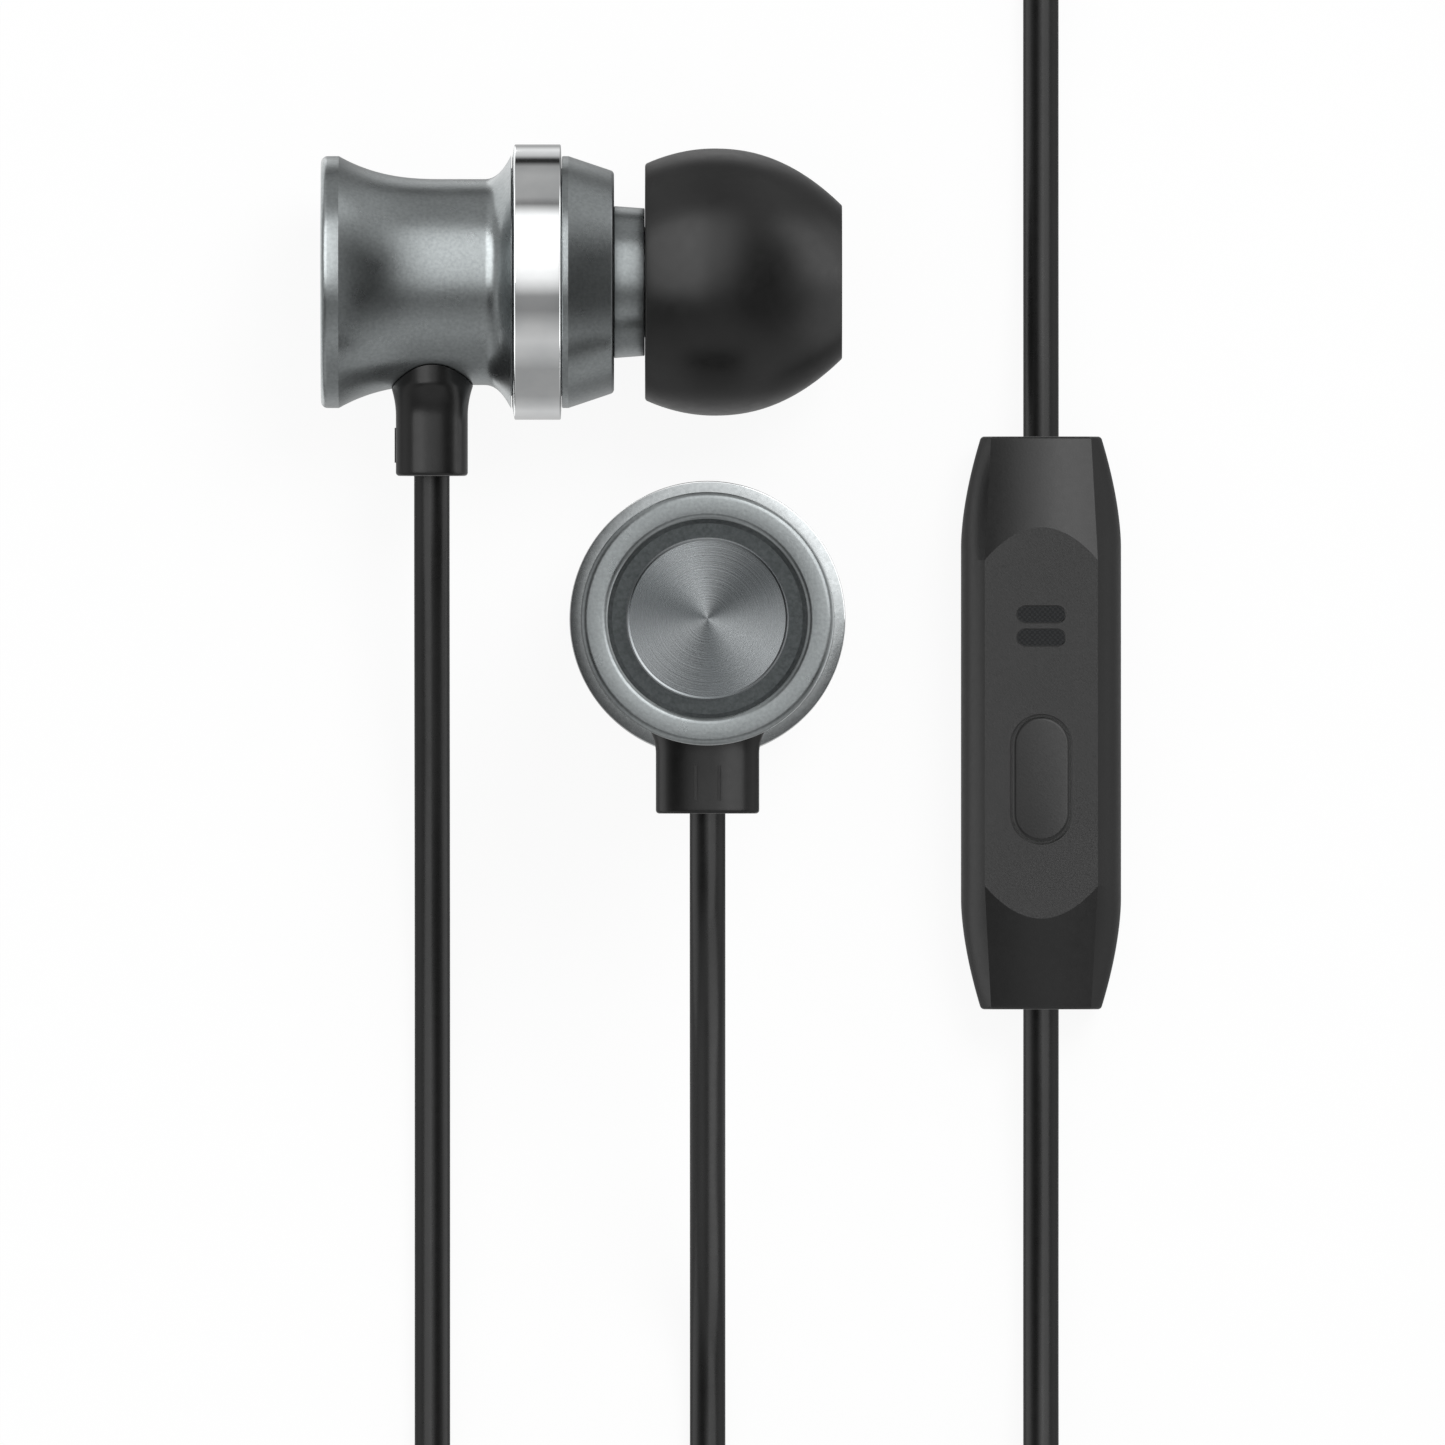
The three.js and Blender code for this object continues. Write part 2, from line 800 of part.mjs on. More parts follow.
function microphone() {
  const top = switchFrom + microphoneHeight;
  const port = microphoneHeight / 2;
  return turned(
    [
      [0, switchFrom],
      [microphoneRadius, switchFrom],
      [microphoneRadius, top],
      [microphonePort, top],
      [microphonePort, top - port],
      [0, top - port],
    ],
    innerSides,
  ).translate(0, slotsAt, 0);
}

function microphoneGauze() {
  const width = slotPitch + 2 * slotWidth;
  const from = panelUnderside - seam - gauzeThickness;
  return block(slotLength + slotWidth, width, gauzeThickness, from).translate(0, slotsAt, 0);
}

function remote() {
  const [front, back] = remoteShells();
  const circuit = block(circuitWidth, circuitLength, circuitThickness, circuitFrom);
  const group = new THREE.Group();
  group.add(
    piece('remote_front_shell', front, blackPlastic),
    piece('remote_back_shell', back, blackPlastic),
    piece('remote_button', remoteButton(), blackPlastic),
    piece('remote_circuit_board', circuit, circuitGreen),
    piece('remote_switch_body', switchBody(), steel),
    piece('remote_switch_plunger', switchPlunger(), blackPlastic),
    piece('remote_microphone', microphone(), steel),
    piece('remote_microphone_gauze', microphoneGauze(), gauze),
  );
  return group;
}

// Splitter and plug

function splitter() {
  const middle = splitterThickness / 2;
  const rings = splitterShares.map((share) => {
    const width = splitterWidth + (splitterEndWidth - splitterWidth) * share ** 2;
    return superellipse(
      width / 2,
      middle,
      splitterSquareness,
      (y, z) => new THREE.Vector3(share * splitterLength, y, z + middle),
    );
  });
  return loft(rings).translate(splitterAt.x, splitterAt.y, 0);
}

// The plug's pieces along its own axis, from the cord's end to the tip.
function plug() {
  const barrelFrom = reliefLength + seam;
  const barrelTo = barrelFrom + barrelLength;
  const inner = reliefRadius + slip;
  const relief = turned(
    [
      [0, 0],
      [reliefEndRadius, 0],
      [reliefRadius, reliefLength],
      [reliefRadius, barrelFrom + barrelNeckLength],
      [0, barrelFrom + barrelNeckLength],
    ],
    plugSides,
  );
  const barrel = turned(
    [
      [inner, barrelFrom],
      [barrelRadius - barrelChamfer, barrelFrom],
      [barrelRadius, barrelFrom + barrelChamfer],
      [barrelRadius, barrelTo - barrelNeckLength - barrelChamfer],
      [barrelNeck, barrelTo - barrelNeckLength],
      [barrelNeck, barrelTo],
      [0, barrelTo],
      [0, barrelFrom + barrelNeckLength + seam],
      [inner, barrelFrom + barrelNeckLength + seam],
    ],
    plugSides,
  );
  const parts = [
    piece('plug_strain_relief', relief, blackRubber),
    piece('plug_barrel', barrel, gunmetal),
  ];
  const rods = [
    ['plug_sleeve_contact', sleeveLength, contactRadius, gold],
    ['plug_insulator_1', insulatorLength, insulatorRadius, whitePlastic],
    ['plug_ring_contact_1', contactLength, contactRadius, gold],
    ['plug_insulator_2', insulatorLength, insulatorRadius, whitePlastic],
    ['plug_ring_contact_2', contactLength, contactRadius, gold],
    ['plug_insulator_3', insulatorLength, insulatorRadius, whitePlastic],
  ];
  let at = barrelTo + seam;
  for (const [name, length, radius, metal] of rods) {
    parts.push(piece(name, pin(radius, length, at, plugSides), metal));
    at += length + seam;
  }
  const tip = turned(
    [
      [0, at],
      [contactRadius, at],
      [tipNotch, at + tipNotchShare * tipLength],
      [contactRadius, at + tipWidestShare * tipLength],
      [tipEndRadius, at + tipLength],
      [0, at + tipLength],
    ],
    plugSides,
  );
  const group = new THREE.Group();
  group.add(...parts, piece('plug_tip_contact', tip, gold));
  return group;
}

// Cords

// The winding's reach from the middle of its turns to its outermost one.
function spread(coil) {
  return ((coil.turns / coil.layers) * coilPitch) / 2;
}

// A pile of turns: each layer spirals in or out at a steady rate, and the cord climbs to
// the next layer in the half turn where the spiral reverses.
function coilPoint(coil, turn) {
  const perLayer = coil.turns / coil.layers;
  const phase = turn / perLayer;
  const layer = Math.min(coil.layers - 1, Math.floor(phase));
  const share = phase - layer;
  const inwards = layer % 2 === 0 ? share : 1 - share;
  const radius = coil.middle + spread(coil) - inwards * perLayer * coilPitch;
  const nearest = Math.round(phase);
  const fromClimb = (phase - nearest) * perLayer;
  const reverses = nearest > 0 && nearest < coil.layers;
  const climbs = reverses && Math.abs(fromClimb) < climbTurns / 2;
  const climbed = (1 + Math.sin((Math.PI * fromClimb) / climbTurns)) / 2;
  const rise = climbs ? nearest - 1 + climbed : layer;
  const angle = coil.start + 2 * Math.PI * turn;
  return new THREE.Vector3(
    coil.x + radius * Math.cos(angle),
    coil.y + radius * Math.sin(angle),
    cordRadius + rise * coilPitch,
  );
}

// A place straight past either end of a coil, by a reach along its cord.
function past(coil, turn, reach) {
  const angle = coil.start + 2 * Math.PI * turn;
  const ahead = new THREE.Vector3(-Math.sin(angle), Math.cos(angle), 0);
  return coilPoint(coil, turn).addScaledVector(ahead, reach);
}

function coilRoute(coil, tail) {
  const steps = Math.round(coil.turns * coilSteps);
  const turns = Array.from({ length: steps + 1 }, (_, i) =>
    coilPoint(coil, (coil.turns * i) / steps),
  );
  return [past(coil, 0, -cordDiameter), ...turns, ...tail];
}

function along(route, i) {
  const before = route[Math.max(0, i - 1)];
  const after = route[Math.min(route.length - 1, i + 1)];
  return after.clone().sub(before).normalize();
}

function woundTube(route) {
  const up = new THREE.Vector3(0, 0, 1);
  const rings = route.map((point, i) => {
    const ahead = along(route, i);
    const across = new THREE.Vector3().crossVectors(ahead, up).normalize();
    const over = new THREE.Vector3().crossVectors(across, ahead);
    return Array.from({ length: coilSides }, (_, side) => {
      const angle = (2 * Math.PI * side) / coilSides;
      return point
        .clone()
        .addScaledVector(over, cordRadius * Math.cos(angle))
        .addScaledVector(across, cordRadius * Math.sin(angle));
    });
  });
  return loft(rings);
}

// The least distance between places on a route that are over half a turn apart, less a diameter.
function gapToItself(route, apart) {
  let least = Infinity;
  for (let i = 0; i < route.length; i++) {
    for (let j = i + apart; j < route.length; j++) {
      least = Math.min(least, route[i].distanceTo(route[j]));
    }
  }
  return least - cordDiameter;
}

function freeTube(points, step) {
  const curve = new THREE.CatmullRomCurve3(points, false, 'centripetal');
  const section = new THREE.Shape(circle(new THREE.Vector2(), cordRadius, cordSides));
  const steps = Math.round(curve.getLength() / step);
  return new THREE.ExtrudeGeometry(section, { steps, extrudePath: curve, bevelEnabled: false });
}

const table = cordRadius;
const lead = cordDiameter + cordGap; // from a coil's end to the end of the tube that meets it
const leftBootEnd = new THREE.Vector3(
  leftBudAt.x + bootAt,
  leftBudAt.y - bootReach - cordGap,
  leftBudAt.z,
);
const rightBootEnd = new THREE.Vector3(
  rightBudAt.x,
  rightBudAt.y - bootReach - cordGap,
  tipTo - bootAt,
);
const remoteEnd = remoteLength / 2 + cordGap;
const splitterHeight = splitterThickness / 2;
const splitterInlet = splitterAt.x - cordGap;
const splitterOutlet = splitterAt.x + splitterLength + cordGap;
const leftInletAt = splitterAt.y - splitterCordPitch / 2;
const rightInletAt = splitterAt.y + splitterCordPitch / 2;
const plugHeight = 2 * cordRadius + (leftCoil.layers - 1) * coilPitch + pileGap + barrelRadius;
const plugAt = mainCoil.y + mainCoil.middle + spread(mainCoil);

const leftUpperRoute = [
  leftBootEnd,
  [-28.65, 7.8, 6.35],
  [-28.65, 2.5, 4.9],
  [-28.65, -4.5, 2.6],
  [-28.65, -11.5, 1.15],
  [-28.65, -18.5, table],
  [-28.65, -27, table],
  [-28.65, -34, table],
  [-28.65, -34.5, table],
  [-29.2, -38.2, table],
  [-30.8, -41.6, table],
  [-32.4, -44.6, table],
  [-33, -47.2, table],
  past(leftCoil, 0, -lead),
];
const leftLowerRoute = [
  past(leftCoil, leftCoil.turns, lead),
  [-17.6, -62.6, 2.9],
  [-15.2, -63.5, 2.4],
  [-12.9, -65.9, 1.5],
  [-11.1, -69.1, 0.95],
  [-8.7, -72.4, table],
  [-5.2, -74.2, 0.95],
  [-2.2, leftInletAt, 1.4],
  [splitterInlet, leftInletAt, splitterHeight],
];
const rightUpperRoute = [
  rightBootEnd,
  [-15.69, -8, 19.0],
  [-15.69, -13, 16.4],
  [-15.69, -18, 11.4],
  [-15.69, -23, 5.9],
  [-15.69, -27.5, 2.3],
  [-15.69, -31.3, 1.0],
  [-15.69, -34.1, table],
  [-15.69, -34.8, table],
  [-14.6, -37.6, table],
  [-11.6, -38.8, table],
  [-3, -38.8, table],
  [7, -38.8, table],
  [16.6, -38.8, table],
  [19.7, -37.5, table],
  [21, -34.4, table],
  [21, -20, table],
  [21, 0, table],
  [21, 20, table],
  [21, 34, table],
  [19.7, 37.1, table],
  [16.6, 38.4, table],
  [10, 38.4, table],
  [4.2, 38.4, table],
  [1.2, 37.2, table],
  [0, 34.4, table],
  [0, 33.9, table],
  [0, 28, table],
  [0, 22, 1.25],
  [0, 17, 2.05],
  [0, remoteEnd, remoteCordHeight],
];
const rightLowerRoute = [
  [0, -remoteEnd, remoteCordHeight],
  [0, -17, 2.05],
  [0, -21.5, 1.5],
  [0, -26, 1.15],
  [0, -30.5, 1.35],
  [0, -34.8, 2.15],
  [0, -38.8, 2.75],
  [-0.4, -42.6, 2.15],
  [-2.2, -46.3, 1.25],
  [-4.7, -49.6, table],
  [-6.8, -53.2, table],
  [-7.5, -57.2, table],
  [-7.5, -62, table],
  [-7.5, -66.6, table],
  [-6.2, -70.3, table],
  [-3.2, -72, 1.2],
  [splitterInlet, rightInletAt, splitterHeight],
];
const mainUpperRoute = [
  [splitterOutlet, splitterAt.y, splitterHeight],
  [15.6, splitterAt.y, 1.2],
  [18.6, -72.4, 0.9],
  [20.5, -69.8, table],
  [21.2, -66.2, table],
  [21.2, -61.5, table],
  past(mainCoil, 0, -lead),
];
const plugTail = [
  [6.4, plugAt, 7.27],
  [4.4, plugAt, 7.2],
  [2.2, plugAt, 7.13],
  [cordGap, plugAt, plugHeight],
];

// The set laid out on the table

const earphones = new THREE.Group();
earphones.name = 'wired_earphones';

const leftBud = earbud('left');
leftBud.rotation.y = Math.PI / 2;
leftBud.position.copy(leftBudAt);

const rightBud = earbud('right');
rightBud.rotation.y = Math.PI;
rightBud.position.set(rightBudAt.x, rightBudAt.y, tipTo);

const plugGroup = plug();
plugGroup.rotation.y = -Math.PI / 2;
plugGroup.position.set(0, plugAt, plugHeight);

const cordStep = 3 * cordDiameter;
const asPoints = (route) =>
  route.map((point) => (Array.isArray(point) ? new THREE.Vector3(...point) : point));
const tubes = [
  ['left_cord_upper', leftUpperRoute],
  ['left_cord_lower', leftLowerRoute],
  ['right_cord_upper', rightUpperRoute],
  ['right_cord_lower', rightLowerRoute],
  ['main_cord_upper', mainUpperRoute],
];
for (const [name, route] of tubes) {
  earphones.add(piece(name, freeTube(asPoints(route), cordStep), blackRubber));
}

const coils = [
  ['left_cord_coil', coilRoute(leftCoil, [past(leftCoil, leftCoil.turns, cordDiameter)])],
  ['main_cord_coil', coilRoute(mainCoil, asPoints(plugTail))],
];
for (const [name, route] of coils) {
  earphones.add(piece(name, woundTube(route), blackRubber));
  const gap = gapToItself(route, coilSteps / 2);
  console.log(`${name}: least gap to itself ${gap.toFixed(2)} mm`);
}

earphones.add(
  leftBud,
  rightBud,
  remote(),
  piece('splitter', splitter(), blackRubber),
  plugGroup,
);

export default earphones;
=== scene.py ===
# Wired in-ear earphones laid out on a white table and seen from straight above.
# Metres, in the frame of the solids: the origin is the middle of the remote's back face.

from math import ceil, cos, hypot, pi, radians, sin, sqrt, tan

import bmesh
import bpy
from mathutils import Matrix, Vector


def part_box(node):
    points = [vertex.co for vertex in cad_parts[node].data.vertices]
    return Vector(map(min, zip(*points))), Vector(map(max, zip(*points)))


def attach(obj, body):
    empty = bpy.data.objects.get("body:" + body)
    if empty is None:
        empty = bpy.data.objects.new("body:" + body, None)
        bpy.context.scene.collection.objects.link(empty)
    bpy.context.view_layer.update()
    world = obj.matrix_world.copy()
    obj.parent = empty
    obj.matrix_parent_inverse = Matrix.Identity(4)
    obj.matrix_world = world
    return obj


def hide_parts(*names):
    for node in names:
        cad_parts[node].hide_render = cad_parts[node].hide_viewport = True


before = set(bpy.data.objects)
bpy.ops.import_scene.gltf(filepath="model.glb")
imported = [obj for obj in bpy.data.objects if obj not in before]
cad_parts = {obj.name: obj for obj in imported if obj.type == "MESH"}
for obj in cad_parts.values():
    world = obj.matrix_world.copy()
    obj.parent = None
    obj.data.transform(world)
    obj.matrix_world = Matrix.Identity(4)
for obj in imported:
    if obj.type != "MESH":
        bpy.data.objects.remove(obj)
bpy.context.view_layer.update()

MM = 0.001
X, Y, Z = range(3)
ROOT = "earphone_set"
FACE_DOWN = ((-1, 0, 0), (0, 1, 0), (0, 0, -1))

# Camera
PHOTO_PIXELS = 1445
PIXEL = 0.047 * MM
PHOTO_CENTRE = Vector((-14.99 * MM, 0.02 * MM, 6.5 * MM))
CAMERA_DISTANCE = 3.0
SENSOR = 36.0

# Facets
TURNED_SIDES = 160
OVAL_SIDES = 96
HOLE_SIDES = 48
CORD_FACETS = 8
ARC_STEPS = 6
ARC_MOST_SHARE = 0.49
FLARE_STEPS = 28
BOOT_ROWS = 40
SADDLE_ROUNDS = 12
GAUZE_STEPS = 4
REMOTE_STEPS = 24
FACET_STEPS = 16
CROWN_STEPS = 12
SHARP = radians(28)
REMOTE_SHARP = radians(10)
WELD = 0.0001 * MM


# Places and sizes read from the solids
def middle(node, axis):
    low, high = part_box(node)
    return (low[axis] + high[axis]) / 2


def radius_of(node):
    low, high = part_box(node)
    return (high[Y] - low[Y]) / 2


def reach(node):
    """How far along its earbud's axis a left node starts and ends."""
    low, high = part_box(node)
    return low[X] - REAR, high[X] - REAR


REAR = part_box("left_rear_housing")[0][X]
RING_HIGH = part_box("left_bright_ring")[1]
RING_RADIUS = RING_HIGH[Z] / 2
LEFT_AXIS = Vector((REAR, RING_HIGH[Y] - RING_RADIUS, RING_RADIUS))
RIGHT_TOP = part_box("right_rear_housing")[1][Z]
RIGHT_AXIS = Vector((middle("right_bright_ring", X), middle("right_bright_ring", Y), RIGHT_TOP))
RIM_RADIUS = radius_of("left_rear_housing")
CAP_RADIUS = radius_of("left_front_cap")
TIP_RADIUS = radius_of("left_ear_tip")
DISC_RADIUS = radius_of("left_rear_disc")
DISC_FROM, DISC_TO = reach("left_rear_disc")
RING_FROM, RING_TO = reach("left_bright_ring")
NOZZLE_TO = reach("left_front_cap")[1]
TIP_FROM, TIP_TO = reach("left_ear_tip")
MESH_FROM, MESH_TO = reach("left_nozzle_mesh")
MESH_RADIUS = radius_of("left_nozzle_mesh")

# Earbud
SEAM = 0.1 * MM
FINE_EDGE = 0.05 * MM
SOFT_EDGE = 2 * FINE_EDGE
METAL_WALL = 0.8 * MM
RIM_BAND = 0.84 * MM
RIM_EDGE = 0.31 * MM
RECESS_RADIUS = 4.66 * MM
RECESS_DEPTH = 0.55 * MM
RECESS_EDGE = 0.36 * MM
# How deep the recess's painted shade starts, as a share of its edge's rounding
RECESS_PAINTED_SHADE_SHARE = 0.8
DISC_LIP = 0.1 * MM
DISC_LIP_DEPTH = 0.045 * MM
WAIST_RADIUS = 4.84 * MM
WAIST_FROM = 5.8 * MM
WAIST_TO = 7.66 * MM
SHOULDER_RADIUS = 5.95 * MM
SHOULDER_AT = 8.93 * MM
REAR_FLARE_POWER = 2.6
FRONT_FLARE_POWER = 2.3
SPIGOT_RADIUS = 5.35 * MM
SPIGOT_LENGTH = 1.05 * MM
RING_REACH = 0.04 * MM
RING_REAR_SLOPE = 0.11 * MM
RING_EDGE = 0.07 * MM
RING_FRONT_SLOPE = 0.03 * MM
CAP_FROM = RING_TO + SEAM / 2
CAP_BAND = 0.3 * MM
CAP_TAPER = 2.14 * MM
CAP_TO = CAP_FROM + CAP_BAND + CAP_TAPER
CAP_FRONT_RADIUS = 5.2 * MM
CAP_CORNER = 0.22 * MM
DRIVER_BORE = 4.9 * MM
DRIVER_SEAT = 8.63 * MM
CAP_LEDGE_RADIUS = 4.6 * MM
NECK_RADIUS = 3.47 * MM
NECK_TO = TIP_FROM - 0.02 * MM
NOZZLE_RADIUS = 2.6 * MM
NOZZLE_LIP = 0.25 * MM
NOZZLE_LIP_LENGTH = 0.7 * MM
NOZZLE_BORE = 1.9 * MM
MESH_SEAT = 0.35 * MM
MESH_WIRE = 0.035 * MM
MESH_PITCH = 0.26 * MM

# Ear tip
TIP_REAR_RADIUS = 5.55 * MM
TIP_FRONT_RADIUS = 3.6 * MM
TIP_SKIRT = 3.24 * MM
TIP_DOME_POWER = 2.2
TIP_WALL = 0.6 * MM
TIP_SLEEVE_BORE = 2.95 * MM
TIP_SLEEVE_RADIUS = 3.6 * MM
TIP_BORE = 2 * MM
TIP_HOLLOW = 5.8 * MM
TIP_CORNER = 0.17 * MM

# Boot and its side marks
BOOT_AT = 5.21 * MM
BOOT_WIDTH = 4.84 * MM
BOOT_DEPTH = 3.38 * MM
BOOT_TOP_WIDTH = 5.9 * MM
BOOT_TOP_DEPTH = 3.9 * MM
BOOT_REACH = 9.11 * MM
BOOT_FLARE_END = 6.3 * MM
BOOT_CORNER = 0.16 * MM
BOOT_SQUARENESS = 3
BOOT_TOP_SQUARENESS = 2.2
BOOT_HOLE_DEPTH = 1.6 * MM
MARK_AT = 7.67 * MM
MARK_HEIGHT = 1.64 * MM
MARK_SPACING = 1.1 * MM
MARK_BAR = 0.17 * MM
MARK_PROUD = 0.06 * MM
MARK_WALL_SHARE = 0.6
MARK_SLOPE_SHARE = 0.5

# Remote
REMOTE_SIDE, REMOTE_HALF, REMOTE_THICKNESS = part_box("remote_front_shell")[1]
REMOTE_END_SIDE = 2.82 * MM
REMOTE_STRAIGHT = 8.3 * MM
REMOTE_TAPER_POWER = 1.7
REMOTE_WALL = 0.8 * MM
REMOTE_END_WALL = 1.9 * MM
REMOTE_BACK_ROUND = 1.3 * MM
REMOTE_END_CORNER = 0.14 * MM
REMOTE_SPLIT = 2.6 * MM
REMOTE_SIDE_TOP = 2.9 * MM
REMOTE_SHOULDER = 0.77 * MM
PANEL_HALF = 2.66 * MM
PANEL_END_HALF = 2.35 * MM
PANEL_CORNER = 7.66 * MM
PANEL_APEX = 9.2 * MM
CROWN_RADIUS = 9 * MM
SLOT_LENGTH = 2.23 * MM
SLOT_WIDTH = 0.74 * MM
SLOT_PITCH = 1.09 * MM
SLOTS_AT = 4.56 * MM
BUTTON_LENGTH = 5.86 * MM
BUTTON_WIDTH = 2.66 * MM
BUTTON_GROOVE = 0.09 * MM
BUTTON_EDGE = 0.16 * MM
BUTTON_FLANGE = 0.5 * MM
BUTTON_STEM_RADIUS = 0.8 * MM
OPENING_EDGE = 0.06 * MM
CORD_HOLE_DEPTH = 1.5 * MM

# Splitter and plug
SPLITTER_WIDTH = 5.2 * MM
SPLITTER_END_WIDTH = 3.2 * MM
SPLITTER_SQUARENESS = 3
SPLITTER_EDGE = 0.4 * MM
BARREL_RADIUS = 3 * MM
BARREL_CHAMFER = 0.3 * MM
BARREL_NECK = 2.3 * MM
BARREL_NECK_LENGTH = 0.8 * MM
RELIEF_RADIUS = 1.9 * MM
RELIEF_END_RADIUS = 1.35 * MM
RELIEF_RIBS = 5
RELIEF_GROOVE = 0.36 * MM
CONTACT_RADIUS = 1.75 * MM
INSULATOR_RADIUS = 1.7 * MM
TIP_NOTCH = 1.25 * MM
TIP_NOTCH_SHARE = 0.22
TIP_WIDEST_SHARE = 0.4
TIP_END_RADIUS = 0.6 * MM

# Cords
CORD_DIAMETER = 1.67 * MM
CORD_RADIUS = CORD_DIAMETER / 2
CORD_STEP = 1.2 * MM
COIL_STEPS = 48
COIL_PITCH = 2.15 * MM
CLIMB_TURNS = 1 / 2
LEFT_COIL = {
    "x": -21.66 * MM, "y": -51.2 * MM, "turns": 3.25, "layers": 2, "middle": 9.6 * MM, "start": pi,
}
MAIN_COIL = {
    "x": 8.2 * MM, "y": -56.4 * MM, "turns": 14.25, "layers": 4, "middle": 9.2 * MM, "start": 0,
}

# Ends of the cords' free stretches, in millimetres
TABLE = CORD_RADIUS / MM
INSERT = 1.2
STRAIGHT_OUT = 0.3
SPLITTER_LOW, SPLITTER_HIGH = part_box("splitter")
SPLITTER_Y = middle("splitter", Y) / MM
SPLITTER_Z = SPLITTER_HIGH[Z] / 2 / MM
SPLITTER_CORD_PITCH = 2.3
INLET_X = SPLITTER_LOW[X] / MM
OUTLET_X = SPLITTER_HIGH[X] / MM
PLUG_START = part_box("plug_strain_relief")[1][X]
PLUG_Y = middle("plug_strain_relief", Y) / MM
PLUG_Z = middle("plug_strain_relief", Z) / MM
LEFT_BOOT_END = Vector((LEFT_AXIS.x + BOOT_AT, LEFT_AXIS.y - BOOT_REACH, LEFT_AXIS.z)) / MM
RIGHT_BOOT_END = Vector((RIGHT_AXIS.x, RIGHT_AXIS.y - BOOT_REACH, RIGHT_AXIS.z - BOOT_AT)) / MM
REMOTE_END = REMOTE_HALF / MM
REMOTE_CORD_Z = 2.2


def on_table(*places):
    return [(x, y, TABLE) for x, y in places]


def out_of(boot_end):
    return [boot_end + Vector((0, INSERT, 0)), boot_end - Vector((0, STRAIGHT_OUT, 0))]


# Each free stretch's own points, in millimetres, chosen as in the solids' source
LEFT_UPPER = [
    *out_of(LEFT_BOOT_END),
    (-28.65, 7.8, 6.35), (-28.65, 2.5, 4.9), (-28.65, -4.5, 2.6), (-28.65, -11.5, 1.15),
    *on_table((-28.65, -18.5), (-28.65, -27), (-28.65, -34), (-28.65, -34.5)),
    *on_table((-29.2, -38.2), (-30.8, -41.6), (-32.4, -44.6), (-33, -47.2)),
]
LEFT_LOWER = [
    (-17.6, -62.6, 2.9), (-15.2, -63.5, 2.4), (-12.9, -65.9, 1.5), (-11.1, -69.1, 0.95),
    (-8.7, -72.4, TABLE), (-5.2, -74.2, 0.95),
    (-2.2, SPLITTER_Y - SPLITTER_CORD_PITCH / 2, 1.4),
    (INLET_X + INSERT, SPLITTER_Y - SPLITTER_CORD_PITCH / 2, SPLITTER_Z),
]
RIGHT_UPPER = [
    *out_of(RIGHT_BOOT_END),
    (-15.69, -8, 19.0), (-15.69, -13, 16.4), (-15.69, -18, 11.4), (-15.69, -23, 5.9),
    (-15.69, -27.5, 2.3), (-15.69, -31.3, 1.0),
    *on_table((-15.69, -34.1), (-15.69, -34.8), (-14.6, -37.6), (-11.6, -38.8), (-3, -38.8)),
    *on_table((7, -38.8), (16.6, -38.8), (19.7, -37.5), (21, -34.4), (21, -20), (21, 0)),
    *on_table((21, 20), (21, 34), (19.7, 37.1), (16.6, 38.4), (10, 38.4), (4.2, 38.4)),
    *on_table((1.2, 37.2), (0, 34.4), (0, 33.9), (0, 28)),
    (0, 22, 1.25), (0, 17, 2.05),
    (0, REMOTE_END - INSERT, REMOTE_CORD_Z),
]
RIGHT_LOWER = [
    (0, INSERT - REMOTE_END, REMOTE_CORD_Z),
    (0, -17, 2.05), (0, -21.5, 1.5), (0, -26, 1.15), (0, -30.5, 1.35), (0, -34.8, 2.15),
    (0, -38.8, 2.75), (-0.4, -42.6, 2.15), (-2.2, -46.3, 1.25),
    *on_table((-4.7, -49.6), (-6.8, -53.2), (-7.5, -57.2), (-7.5, -62), (-7.5, -66.6)),
    (-6.2, -70.3, TABLE), (-3.2, -72, 1.2),
    (INLET_X + INSERT, SPLITTER_Y + SPLITTER_CORD_PITCH / 2, SPLITTER_Z),
]
MAIN_UPPER = [
    (OUTLET_X - INSERT, SPLITTER_Y, SPLITTER_Z),
    (15.6, SPLITTER_Y, 1.2), (18.6, -72.4, 0.9),
    *on_table((20.5, -69.8), (21.2, -66.2), (21.2, -61.5)),
]
PLUG_TAIL = [
    (6.4, PLUG_Y, 7.27), (4.4, PLUG_Y, 7.2), (2.2, PLUG_Y, 7.13), (-INSERT, PLUG_Y, PLUG_Z),
]


def placed(name, data):
    """Puts data into the scene as an object."""
    item = bpy.data.objects.new(name, data)
    bpy.context.collection.objects.link(item)
    return item


def make_camera():
    data = bpy.data.cameras.new("camera")
    data.sensor_width = SENSOR
    data.lens = SENSOR * CAMERA_DISTANCE / (PHOTO_PIXELS * PIXEL)
    camera = placed("camera", data)
    camera.location = PHOTO_CENTRE + Vector((0, 0, CAMERA_DISTANCE))
    bpy.context.scene.camera = camera


# Cords


def smooth_route(points):
    """Points along the centripetal curve through a route's points."""
    guided = [points[0] * 2 - points[1], *points, points[-1] * 2 - points[-2]]
    route = []
    for before, start, end, after in zip(guided, guided[1:], guided[2:], guided[3:]):
        spans = [sqrt((b - a).length) for a, b in ((before, start), (start, end), (end, after))]
        first = (start - before) / spans[0] - (end - before) / (spans[0] + spans[1])
        last = (end - start) / spans[1] - (after - start) / (spans[1] + spans[2])
        leave = (first + (end - start) / spans[1]) * spans[1]
        arrive = (last + (after - end) / spans[2]) * spans[1]
        count = max(1, ceil((end - start).length / CORD_STEP))
        for i in range(count):
            s = i / count
            route.append(
                (2 * s**3 - 3 * s**2 + 1) * start
                + (s**3 - 2 * s**2 + s) * leave
                + (3 * s**2 - 2 * s**3) * end
                + (s**3 - s**2) * arrive
            )
    return [*route, points[-1]]


